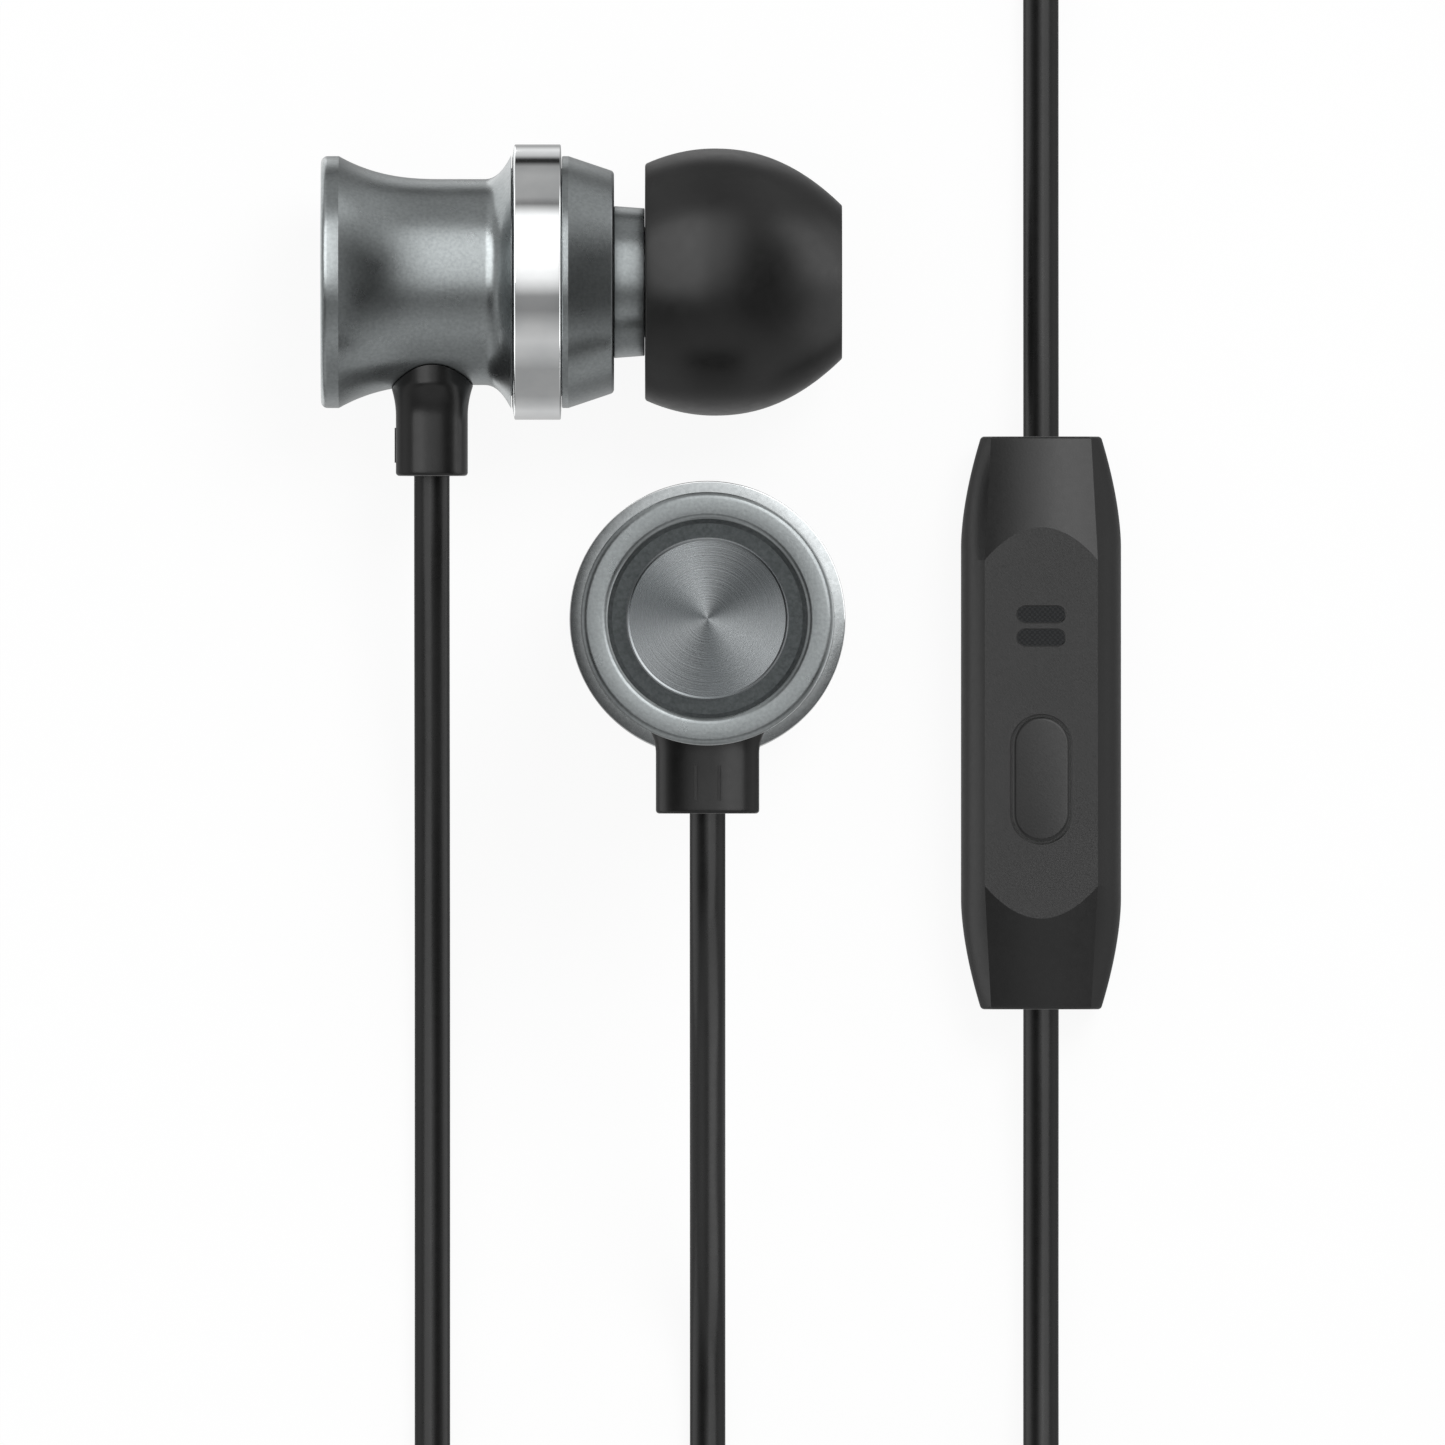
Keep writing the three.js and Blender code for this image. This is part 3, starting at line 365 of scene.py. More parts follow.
def coil_point(coil, turn):
    """A place in a pile of turns, whose layers spiral in and out, with a climb at each reversal."""
    per_layer = coil["turns"] / coil["layers"]
    phase = turn / per_layer
    layer = min(coil["layers"] - 1, int(phase))
    share = phase - layer
    inwards = share if layer % 2 == 0 else 1 - share
    radius = coil["middle"] + per_layer * COIL_PITCH / 2 - inwards * per_layer * COIL_PITCH
    nearest = round(phase)
    from_climb = (phase - nearest) * per_layer
    rise = layer
    if 0 < nearest < coil["layers"] and abs(from_climb) < CLIMB_TURNS / 2:
        rise = nearest - 1 + (1 + sin(pi * from_climb / CLIMB_TURNS)) / 2
    angle = coil["start"] + 2 * pi * turn
    x, y = coil["x"] + radius * cos(angle), coil["y"] + radius * sin(angle)
    return Vector((x, y, CORD_RADIUS + rise * COIL_PITCH))


def in_metres(route):
    return [Vector(point) * MM for point in route]


def wound(before, coil, after):
    """A cord's whole route: up to its coil, round the coil's turns, and on."""
    steps = round(coil["turns"] * COIL_STEPS)
    turns = [coil_point(coil, coil["turns"] * i / steps) for i in range(steps + 1)]
    return [
        *smooth_route([*in_metres(before), turns[0]])[:-1],
        *turns,
        *smooth_route([turns[-1], *in_metres(after)])[1:],
    ]


def make_cord(material, name, route, replaced):
    curve = bpy.data.curves.new(name, "CURVE")
    curve.dimensions = "3D"
    curve.bevel_depth = CORD_RADIUS
    curve.bevel_resolution = CORD_FACETS
    curve.use_fill_caps = True
    spline = curve.splines.new("POLY")
    spline.points.add(len(route) - 1)
    for point, place in zip(spline.points, route):
        point.co = (*place, 1)
    curve.materials.append(material)
    cord = placed(name, curve)
    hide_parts(*replaced)
    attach(cord, ROOT)
    return cord


def make_cords(sheath):
    left = wound(LEFT_UPPER, LEFT_COIL, LEFT_LOWER)
    upper = smooth_route(in_metres(RIGHT_UPPER))
    lower = smooth_route(in_metres(RIGHT_LOWER))
    main = wound(MAIN_UPPER, MAIN_COIL, PLUG_TAIL)
    return [
        make_cord(sheath, "left_cord", left, ("left_cord_upper", "left_cord_coil", "left_cord_lower")),
        make_cord(sheath, "right_cord_to_remote", upper, ("right_cord_upper",)),
        make_cord(sheath, "right_cord_to_splitter", lower, ("right_cord_lower",)),
        make_cord(sheath, "main_cord", main, ("main_cord_upper", "main_cord_coil")),
    ]


# Shape helpers


def between(start, end, steps):
    return [start + (end - start) * i / steps for i in range(steps + 1)]


def quarter(radius, steps=ARC_STEPS):
    """Inset and rise along a rounded edge, from the side that it leaves to the face that it meets."""
    return [(radius * (1 - cos(a)), radius * sin(a)) for a in between(0, pi / 2, steps)]


def arc(before, corner, after, rounding):
    """The points of a round corner."""
    to_before = (before - corner).normalized()
    to_after = (after - corner).normalized()
    half = to_before.angle(to_after) / 2
    longest = min((before - corner).length, (after - corner).length) * ARC_MOST_SHARE
    cut_back = min(rounding / tan(half), longest)
    radius = cut_back * tan(half)
    centre = corner + (to_before + to_after).normalized() * (radius / sin(half))
    start = corner + to_before * cut_back - centre
    turn = pi - 2 * half
    if start.x * (after - corner).y - start.y * (after - corner).x < 0:
        turn = -turn
    return [
        centre + Vector((start.x * cos(a) - start.y * sin(a), start.x * sin(a) + start.y * cos(a)))
        for a in between(0, turn, ARC_STEPS)
    ]


def rounded(corners):
    """Outline points of (across, along, rounding) corners, open at both ends."""
    places = [Vector(corner[:2]) for corner in corners]
    points = [places[0]]
    for i in range(1, len(corners) - 1):
        if corners[i][2] > 0:
            points += arc(places[i - 1], places[i], places[i + 1], corners[i][2])
        else:
            points.append(places[i])
    return [*points, places[-1]]


def new_object(name, vertices, faces, smooth=True):
    mesh = bpy.data.meshes.new(name)
    mesh.from_pydata([tuple(v) for v in vertices], [], faces)
    shaped = bmesh.new()
    shaped.from_mesh(mesh)
    bmesh.ops.remove_doubles(shaped, verts=shaped.verts, dist=WELD)
    bmesh.ops.recalc_face_normals(shaped, faces=shaped.faces)
    shaped.to_mesh(mesh)
    shaped.free()
    piece = placed(name, mesh)
    return smoothed(piece) if smooth else piece


def smoothed(piece, sharp=SHARP):
    piece.data.shade_smooth()
    piece.data.set_sharp_from_angle(angle=sharp)
    return piece


def turned(name, outline, sides=TURNED_SIDES):
    """An outline of (radius, along) points turned round the local Z axis."""
    closed = outline[0][0] > 0 or outline[-1][0] > 0
    points = [*outline, outline[0]] if closed else outline
    vertices = [
        (radius * cos(2 * pi * side / sides), radius * sin(2 * pi * side / sides), along)
        for radius, along in points
        for side in range(sides)
    ]
    faces = []
    for ring in range(len(points) - 1):
        starts_wide, ends_wide = points[ring][0] > 0, points[ring + 1][0] > 0
        for side in range(sides):
            a = ring * sides + side
            b = ring * sides + (side + 1) % sides
            if starts_wide and ends_wide:
                faces.append((a, b, b + sides, a + sides))
            elif starts_wide:
                faces.append((a, b, a + sides))
            elif ends_wide:
                faces.append((a, b + sides, a + sides))
    return new_object(name, vertices, faces)


def skinned(name, rings, smooth=True):
    """Rings of equally many points, skinned and closed at both ends."""
    count = len(rings[0])
    vertices = [point for ring in rings for point in ring]
    faces = [tuple(range(count))[::-1], tuple(range(len(vertices) - count, len(vertices)))]
    for start in range(0, len(vertices) - count, count):
        for i in range(count):
            a, b = start + i, start + (i + 1) % count
            faces.append((a, b, b + count, a + count))
    return new_object(name, vertices, faces, smooth)


def mirrored(half, y):
    """A closed section at y from the (x, z) points of its right half."""
    return [(x, y, z) for x, z in half] + [(-x, y, z) for x, z in half[::-1] if x > WELD]


def joined(name, pieces):
    merged = bmesh.new()
    for piece in pieces:
        piece.data.transform(piece.matrix_world)
        merged.from_mesh(piece.data)
        bpy.data.objects.remove(piece)
    mesh = bpy.data.meshes.new(name)
    merged.to_mesh(mesh)
    merged.free()
    return smoothed(placed(name, mesh))


def cut(piece, cutters, operation="DIFFERENCE"):
    """Cuts the cutters out of a piece, or keeps what they share, and removes them."""
    for cutter in cutters:
        modifier = piece.modifiers.new("cut", "BOOLEAN")
        modifier.operation = operation
        modifier.solver = "EXACT"
        modifier.object = cutter
    bpy.context.view_layer.update()
    evaluated = piece.evaluated_get(bpy.context.evaluated_depsgraph_get())
    mesh = bpy.data.meshes.new_from_object(evaluated)
    piece.modifiers.clear()
    piece.data = mesh
    for cutter in cutters:
        bpy.data.objects.remove(cutter)
    return smoothed(piece, REMOTE_SHARP)


def cut_level(piece, height):
    """Takes off what a piece has above a height and closes the cut."""
    shaped = bmesh.new()
    shaped.from_mesh(piece.data)
    made = bmesh.ops.bisect_plane(
        shaped,
        geom=[*shaped.verts, *shaped.edges, *shaped.faces],
        plane_co=(0, 0, height),
        plane_no=(0, 0, 1),
        clear_outer=True,
    )
    edges = [item for item in made["geom_cut"] if isinstance(item, bmesh.types.BMEdge)]
    bmesh.ops.contextual_create(shaped, geom=edges)
    bmesh.ops.recalc_face_normals(shaped, faces=shaped.faces)
    shaped.to_mesh(piece.data)
    shaped.free()
    return smoothed(piece, REMOTE_SHARP)


def turned_to(place, *rows):
    """A placement at a place, with the turn that a matrix's rows give."""
    return Matrix.Translation(place) @ Matrix(rows).to_4x4()


def dressed(piece, body, slot, material, *nodes):
    """Hangs a finished piece on its body, in the place of its nodes."""
    piece.data.materials.clear()
    piece.data.materials.append(material)
    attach(piece, body)
    if nodes:
        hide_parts(*nodes)
    return piece


# Earbud pieces, each along its own axis from the rear face towards the ear

BUD_FRAMES = {
    "left": turned_to(LEFT_AXIS, (0, 0, 1), (0, 1, 0), (-1, 0, 0)),
    "right": turned_to(RIGHT_AXIS, *FACE_DOWN),
}


def housing_radius(along):
    """The housing's outer radius between its rim and its shoulder."""
    if along < WAIST_FROM:
        share = (along - RIM_BAND) / (WAIST_FROM - RIM_BAND)
        return WAIST_RADIUS + (RIM_RADIUS - WAIST_RADIUS) * max(0, 1 - share) ** REAR_FLARE_POWER
    share = max(0, (along - WAIST_TO) / (SHOULDER_AT - WAIST_TO))
    return WAIST_RADIUS + (SHOULDER_RADIUS - WAIST_RADIUS) * share**FRONT_FLARE_POWER


def rear_housing(side):
    cavity = WAIST_RADIUS - METAL_WALL
    rear = rounded([
        (0, RECESS_DEPTH, 0),
        (RECESS_RADIUS, RECESS_DEPTH, SOFT_EDGE),
        (RECESS_RADIUS, 0, RECESS_EDGE),
        (RIM_RADIUS, 0, RIM_EDGE),
        (RIM_RADIUS, RIM_BAND, 0),
    ])
    flares = [
        *between(RIM_BAND, WAIST_FROM, FLARE_STEPS)[1:],
        *between(WAIST_TO, SHOULDER_AT, FLARE_STEPS),
    ]
    inside = [
        (SPIGOT_RADIUS, SHOULDER_AT),
        (SPIGOT_RADIUS, SHOULDER_AT + SPIGOT_LENGTH),
        (DRIVER_BORE, SHOULDER_AT + SPIGOT_LENGTH),
        (DRIVER_BORE, DRIVER_SEAT),
        (cavity, DRIVER_SEAT),
        (cavity, RECESS_DEPTH + METAL_WALL),
        (0, RECESS_DEPTH + METAL_WALL),
    ]
    outline = [*rear, *((housing_radius(along), along) for along in flares), *inside]
    return turned(f"{side}_housing", outline)


def rear_disc(side):
    lip = DISC_RADIUS - FINE_EDGE
    return turned(f"{side}_disc", rounded([
        (0, DISC_FROM + DISC_LIP_DEPTH, 0),
        (lip - DISC_LIP, DISC_FROM + DISC_LIP_DEPTH, FINE_EDGE / 2),
        (lip, DISC_FROM, FINE_EDGE / 2),
        (DISC_RADIUS, DISC_FROM + FINE_EDGE, 0),
        (DISC_RADIUS, DISC_TO, 0),
        (0, DISC_TO, 0),
    ]))


def bright_ring(side):
    bore = SPIGOT_RADIUS + SEAM + SEAM / 2
    start, end = RING_FROM - RING_REACH, RING_TO + RING_REACH / 2
    return turned(f"{side}_ring", rounded([
        (bore, start, 0),
        (SHOULDER_RADIUS - SEAM, start, 0),
        (RING_RADIUS, start + RING_REAR_SLOPE, RING_EDGE),
        (RING_RADIUS, end - RING_FRONT_SLOPE, RING_EDGE),
        (CAP_RADIUS - SEAM, end, 0),
        (bore, end, 0),
    ]))


def front_cap(side):
    lip = NOZZLE_RADIUS + NOZZLE_LIP
    skirt = SHOULDER_AT + SPIGOT_LENGTH + SEAM
    return turned(f"{side}_cap", rounded([
        (DRIVER_BORE, skirt, 0),
        (SPIGOT_RADIUS, skirt, 0),
        (SPIGOT_RADIUS, CAP_FROM, 0),
        (CAP_RADIUS, CAP_FROM, FINE_EDGE),
        (CAP_RADIUS, CAP_FROM + CAP_BAND, FINE_EDGE),
        (CAP_FRONT_RADIUS, CAP_TO, CAP_CORNER),
        (NECK_RADIUS, CAP_TO, FINE_EDGE),
        (NECK_RADIUS, NECK_TO, FINE_EDGE),
        (NOZZLE_RADIUS, NECK_TO, 0),
        (NOZZLE_RADIUS, NOZZLE_TO - NOZZLE_LIP_LENGTH - NOZZLE_LIP, 0),
        (lip, NOZZLE_TO - NOZZLE_LIP_LENGTH, FINE_EDGE),
        (lip, NOZZLE_TO, NOZZLE_LIP),
        (NOZZLE_BORE + MESH_SEAT, NOZZLE_TO, FINE_EDGE),
        (NOZZLE_BORE + MESH_SEAT, NOZZLE_TO - MESH_SEAT, 0),
        (NOZZLE_BORE, NOZZLE_TO - MESH_SEAT, 0),
        (NOZZLE_BORE, CAP_TO, 0),
        (CAP_LEDGE_RADIUS, CAP_FROM + METAL_WALL, 0),
        (CAP_LEDGE_RADIUS, CAP_FROM, 0),
        (DRIVER_BORE, CAP_FROM, 0),
    ]))


def gauze_wire(side, offset, across, phase):
    """One wavy wire of the gauze as a thin square tube."""
    half = sqrt(MESH_RADIUS**2 - offset**2) - MESH_WIRE
    rings = []
    for along in between(-half, half, max(2, 2 * round(GAUZE_STEPS * half / MESH_PITCH))):
        height = (MESH_FROM + MESH_TO) / 2 + MESH_WIRE * cos(pi * along / MESH_PITCH + phase)
        ring = []
        for angle in (0, pi / 2, pi, 3 * pi / 2):
            aside = offset + MESH_WIRE * cos(angle)
            rise = height + MESH_WIRE * sin(angle)
            ring.append((aside, along, rise) if across else (along, aside, rise))
        rings.append(ring)
    return skinned(f"{side}_wire", rings)


def nozzle_mesh(side):
    count = int((MESH_RADIUS - MESH_WIRE) / MESH_PITCH)
    wires = [
        gauze_wire(side, i * MESH_PITCH, across, pi * i if across else pi * (i + 1))
        for across in (True, False)
        for i in range(-count, count + 1)
    ]
    rim = turned(f"{side}_mesh_rim", [
        (MESH_RADIUS - 2 * MESH_WIRE, MESH_FROM),
        (MESH_RADIUS, MESH_FROM),
        (MESH_RADIUS, MESH_TO),
        (MESH_RADIUS - 2 * MESH_WIRE, MESH_TO),
    ], TURNED_SIDES // 2)
    return joined(f"{side}_gauze", [rim, *wires])


def tip_outer(along):
    past = along - TIP_FROM - TIP_SKIRT
    if past < 0:
        return TIP_RADIUS - (TIP_RADIUS - TIP_REAR_RADIUS) * (past / TIP_SKIRT) ** 2
    dome = TIP_TO - TIP_FROM - TIP_SKIRT
    return TIP_RADIUS - (TIP_RADIUS - TIP_FRONT_RADIUS) * (past / dome) ** TIP_DOME_POWER


def ear_tip(side):
    outer = [
        (tip_outer(along), along, 0)
        for along in between(TIP_FROM + 2 * TIP_CORNER, TIP_TO - 2 * TIP_CORNER, 2 * FLARE_STEPS)
    ]
    inner = [
        (tip_outer(along) - TIP_WALL, along, 0)
        for along in between(TIP_FROM + TIP_HOLLOW, TIP_FROM, FLARE_STEPS)[:-1]
    ]
    stop = NOZZLE_TO + SEAM
    corners = [
        (TIP_REAR_RADIUS, TIP_FROM, TIP_CORNER),
        *outer,
        (TIP_FRONT_RADIUS, TIP_TO, TIP_CORNER),
        (TIP_BORE, TIP_TO, SOFT_EDGE),
        (TIP_BORE, stop, 0),
        (TIP_SLEEVE_BORE, stop, 0),
        (TIP_SLEEVE_BORE, TIP_FROM, SOFT_EDGE),
        (TIP_SLEEVE_RADIUS, TIP_FROM, SOFT_EDGE),
        (TIP_SLEEVE_RADIUS, TIP_FROM + TIP_HOLLOW, SOFT_EDGE),
        *inner,
        (TIP_REAR_RADIUS - TIP_WALL, TIP_FROM, SOFT_EDGE),
    ]
    return turned(f"{side}_tip", rounded([*corners, corners[0], corners[1]])[1:-1])


def oval(half_width, half_depth, squareness, angle):
    def part(value):
        return abs(value) ** (2 / squareness) * (1 if value > 0 else -1)

    return half_width * part(cos(angle)), half_depth * part(sin(angle))


def oval_angles():
    return [2 * pi * (i + 1 / 2) / OVAL_SIDES for i in range(OVAL_SIDES)]


def boot_section(down, angle):
    """Across and along places of the boot's wall, at a distance from the earbud's axis."""
    share = min(1, max(0, (down - WAIST_RADIUS) / (BOOT_FLARE_END - WAIST_RADIUS)))
    flare = (1 - share) ** 2
    width = BOOT_WIDTH + flare * (BOOT_TOP_WIDTH - BOOT_WIDTH)
    depth = BOOT_DEPTH + flare * (BOOT_TOP_DEPTH - BOOT_DEPTH)
    squareness = BOOT_SQUARENESS + flare * (BOOT_TOP_SQUARENESS - BOOT_SQUARENESS)
    return oval(width / 2, depth / 2, squareness, angle)


def saddle(angle):
    """How far down the boot's wall at an angle meets the housing."""
    down = WAIST_RADIUS
    for _ in range(SADDLE_ROUNDS):
        across, along = boot_section(down, angle)
        radius = housing_radius(BOOT_AT + along) + SEAM / 2
        down = sqrt(max(0, radius**2 - across**2))
    return down


def boot(side):
    angles = oval_angles()
    tops = [saddle(angle) for angle in angles]
    flat = BOOT_REACH - BOOT_CORNER
    rings = []
    for share in between(0, 1, BOOT_ROWS):
        ring = []
        for angle, top in zip(angles, tops):
            down = top + (flat - top) * share
            across, along = boot_section(down, angle)
            ring.append((across, -down, BOOT_AT + along))
        rings.append(ring)
    for inset, drop in quarter(BOOT_CORNER)[1:]:
        narrow, thin = (1 - 2 * inset / size for size in (BOOT_WIDTH, BOOT_DEPTH))
        section = [boot_section(flat + drop, angle) for angle in angles]
        rings.append([(x * narrow, -flat - drop, BOOT_AT + z * thin) for x, z in section])
    hole = CORD_RADIUS + SEAM / 2
    for radius, down in (
        (hole + SOFT_EDGE, BOOT_REACH),
        (hole, BOOT_REACH - SOFT_EDGE),
        (hole, BOOT_REACH - BOOT_HOLE_DEPTH),
    ):
        rings.append([(radius * cos(a), -down, BOOT_AT + radius * sin(a)) for a in angles])
    return skinned(f"{side}_boot_body", rings)


def side_mark(side):
    """Plain raised bars on the boot's rear face, one for the left ear and two for the right."""
    edge, wall = MARK_BAR / 2, MARK_PROUD * MARK_WALL_SHARE
    top = edge - MARK_PROUD * MARK_SLOPE_SHARE
    section = [
        (edge, -MARK_PROUD), (edge, wall), (top, MARK_PROUD),
        (-top, MARK_PROUD), (-edge, wall), (-edge, -MARK_PROUD),
    ]
    places = {"left": [0], "right": [-MARK_SPACING / 2, MARK_SPACING / 2]}[side]
    bars = [
        skinned(f"{side}_bar", [
            [(place + x, y, z) for x, z in section] for y in (-MARK_HEIGHT / 2, MARK_HEIGHT / 2)
        ])
        for place in places
    ]
    mark = joined(f"{side}_mark", bars)
    mark.data.transform(turned_to((0, -MARK_AT, BOOT_AT - BOOT_DEPTH / 2), *FACE_DOWN))
    return mark


def refinished_or_shaded(piece, material, chosen):
    """Gives the faces whose centres are chosen another material: a real finish, or darker metal as
    painted shade.
    """
    piece.data.materials.append(material)
    for face in piece.data.polygons:
        if chosen(face.center):
            face.material_index = 1


# Faces deep in the housing's recess, which are given painted shade
def in_recess(centre):
    deep = RECESS_EDGE * RECESS_PAINTED_SHADE_SHARE < centre.z < RECESS_DEPTH + SEAM
    return deep and hypot(centre.x, centre.y) < RECESS_RADIUS + FINE_EDGE


def on_rear_slope(centre):
    return centre.z < RING_FROM - RING_REACH + RING_REAR_SLOPE - FINE_EDGE / 3


def make_earbud(side, finishes):
    housing, ring = rear_housing(side), bright_ring(side)
    pieces = [
        (housing, ROOT, "gunmetal", f"{side}_rear_housing"),
        (rear_disc(side), ROOT, "brushed_metal", f"{side}_rear_disc"),
        (ring, ROOT, "chrome", f"{side}_bright_ring"),
        (front_cap(side), ROOT, "gunmetal", f"{side}_front_cap"),
        (nozzle_mesh(side), ROOT, "gauze", f"{side}_nozzle_mesh"),
        (ear_tip(side), f"{side}_tip", "silicone", f"{side}_ear_tip"),
        (boot(side), ROOT, "black_rubber", f"{side}_boot"),
        (side_mark(side), ROOT, "black_rubber"),
    ]
    for piece, body, slot, *nodes in pieces:
        piece.matrix_world = BUD_FRAMES[side]
        dressed(piece, body, slot, finishes[slot], *nodes)
    # Darker metal in the recess: painted shade in the hollow
    refinished_or_shaded(housing, finishes["recess"], in_recess)
    refinished_or_shaded(ring, finishes["satin"], on_rear_slope)
    return [piece for piece, *_ in pieces]


# Remote


def remote_side(y):
    share = max(0, abs(y) - REMOTE_STRAIGHT) / (REMOTE_HALF - REMOTE_STRAIGHT)
    return REMOTE_SIDE - (REMOTE_SIDE - REMOTE_END_SIDE) * share**REMOTE_TAPER_POWER


def ridge_at(y):
    share = max(0, abs(y) - PANEL_CORNER) / (REMOTE_HALF - PANEL_CORNER)
    return PANEL_HALF - (PANEL_HALF - PANEL_END_HALF) * share


def crown_at(y):
    rise = PANEL_HALF**2 / (2 * CROWN_RADIUS)
    past = max(0, abs(y) - PANEL_CORNER)
    return REMOTE_THICKNESS + rise - rise / (PANEL_APEX - PANEL_CORNER) * past


def ridge_height(y):
    return crown_at(y) - ridge_at(y) ** 2 / (2 * CROWN_RADIUS)


def remote_section(y, inset):
    """One closed section of the remote, drawn in by an inset at its ends' round edges."""
    side = remote_side(y) - inset
    ridge = ridge_at(y) - inset
    top = ridge_height(y)
    turn = REMOTE_BACK_ROUND - inset
    half = [
        (side - turn + turn * sin(a), REMOTE_BACK_ROUND - turn * cos(a))
        for a in between(0, pi / 2, 2 * ARC_STEPS)
    ]
    bulge = Vector((side, top - REMOTE_SHOULDER))
    start, end = Vector((side, REMOTE_SIDE_TOP)), Vector((ridge, top - inset))
    half += [
        tuple(start * (1 - s) ** 2 + bulge * 2 * s * (1 - s) + end * s**2)
        for s in between(0, 1, FACET_STEPS)
    ]
    half += [
        (x, crown_at(y) - inset - x**2 / (2 * CROWN_RADIUS) * (ridge_at(y) / ridge) ** 2)
        for x in between(ridge, 0, CROWN_STEPS)[1:]
    ]
    return mirrored(half, y)


def remote_solid():
    flat = REMOTE_HALF - REMOTE_END_CORNER
    half = [(y, 0) for y in between(PANEL_CORNER, flat, REMOTE_STEPS)]
    half += [(flat + rise, inset) for inset, rise in quarter(REMOTE_END_CORNER, 2 * ARC_STEPS)[1:]]
    rings = [remote_section(-y, inset) for y, inset in reversed(half)]
    rings += [remote_section(y, inset) for y, inset in half]
    return cut_level(skinned("remote_solid", rings), REMOTE_THICKNESS)


def remote_cavity():
    end = REMOTE_HALF - REMOTE_END_WALL
    rings = []
    for y in (-end, -PANEL_CORNER, PANEL_CORNER, end):
        side = remote_side(y) - REMOTE_WALL
        top = min(REMOTE_THICKNESS, ridge_height(y)) - REMOTE_WALL
        rings.append(mirrored([
            (side - REMOTE_WALL, REMOTE_WALL),
            (side, REMOTE_BACK_ROUND),
            (side, REMOTE_SIDE_TOP),
            (ridge_at(y) - REMOTE_WALL / 2, top),
        ], y))
    return skinned("remote_cavity", rings)


def stadium_ring(length, width, height):
    radius = width / 2
    straight = length / 2 - radius
    return [
        (radius * cos(angle + turn), end * straight + radius * sin(angle + turn), height)
        for end, turn in ((1, 0), (-1, pi))
        for angle in between(0, pi, REMOTE_STEPS)
    ]


def opening_cutter(name, length, width, place, across=False):
    """A stadium-shaped cutter that flares where it leaves the panel."""
    cutter = skinned(name, [
        stadium_ring(length + 2 * flare, width + 2 * flare, height)
        for flare, height in (
            (0, REMOTE_SPLIT + SEAM),
            (0, REMOTE_THICKNESS - OPENING_EDGE),
            (OPENING_EDGE, REMOTE_THICKNESS),
            (OPENING_EDGE, REMOTE_THICKNESS + MM),
        )
    ])
    if across:
        cutter.data.transform(Matrix.Rotation(pi / 2, 4, "Z"))
    cutter.data.transform(Matrix.Translation((0, place, 0)))
    return cutter


def slab(name, low, high):
    far = REMOTE_HALF + MM
    corners = [(-far, -far), (far, -far), (far, far), (-far, far)]
    return skinned(name, [[(x, y, z) for x, y in corners] for z in (low, high)], smooth=False)


def cord_hole(name, end):
    radius = CORD_RADIUS + SEAM / 2
    turns = [2 * pi * i / HOLE_SIDES for i in range(HOLE_SIDES)]
    return skinned(name, [
        [(radius * cos(turn), end * y, REMOTE_CORD_Z * MM + radius * sin(turn)) for turn in turns]
        for y in (REMOTE_HALF + MM, REMOTE_HALF - CORD_HOLE_DEPTH)
    ])


def remote_shells():
    hollow = cut(remote_solid(), [
        remote_cavity(),
        cord_hole("cord_hole_top", 1),
        cord_hole("cord_hole_bottom", -1),
    ])
    front, back = (placed(name, hollow.data.copy()) for name in ("remote_front", "remote_back"))
    bpy.data.objects.remove(hollow)
    cut(front, [slab("upper", REMOTE_SPLIT + SEAM / 2, REMOTE_THICKNESS + MM)], "INTERSECT")
    cut(back, [slab("lower", -MM, REMOTE_SPLIT - SEAM / 2)], "INTERSECT")
    length, width = BUTTON_LENGTH + 2 * BUTTON_GROOVE, BUTTON_WIDTH + 2 * BUTTON_GROOVE
    cut(front, [
        opening_cutter("button_opening", length, width, middle("remote_button", Y)),
        opening_cutter("slot_top", SLOT_LENGTH, SLOT_WIDTH, SLOTS_AT + SLOT_PITCH / 2, True),
        opening_cutter("slot_low", SLOT_LENGTH, SLOT_WIDTH, SLOTS_AT - SLOT_PITCH / 2, True),
    ])
    return front, back


def remote_button():
    low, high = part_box("remote_button")
    flange_to = REMOTE_THICKNESS - REMOTE_WALL - SEAM
    flange = BUTTON_GROOVE + BUTTON_FLANGE
    edge_from = high[Z] - BUTTON_EDGE
    cap = skinned("button_cap", [
        stadium_ring(BUTTON_LENGTH + 2 * grown, BUTTON_WIDTH + 2 * grown, height)
        for grown, height in (
            (flange, flange_to - BUTTON_FLANGE),
            (flange, flange_to),
            (0, flange_to),
            *((-inset, edge_from + rise) for inset, rise in quarter(BUTTON_EDGE)),
        )
    ])
    stem_to = flange_to - BUTTON_FLANGE + SEAM
    stem = turned("button_stem", [
        (0, low[Z]), (BUTTON_STEM_RADIUS, low[Z]), (BUTTON_STEM_RADIUS, stem_to), (0, stem_to),
    ], TURNED_SIDES // 3)
    button = joined("remote_button_cap", [cap, stem])
    button.data.transform(Matrix.Translation((0, middle("remote_button", Y), 0)))
    return button


def make_remote(finishes):
    front, back = remote_shells()
    plastic = finishes["black_plastic"]
    return [
        dressed(front, ROOT, "black_plastic", plastic, "remote_front_shell"),
        dressed(back, ROOT, "black_plastic", plastic, "remote_back_shell"),
        dressed(remote_button(), "button", "black_plastic", plastic, "remote_button"),
    ]


# Splitter and plug


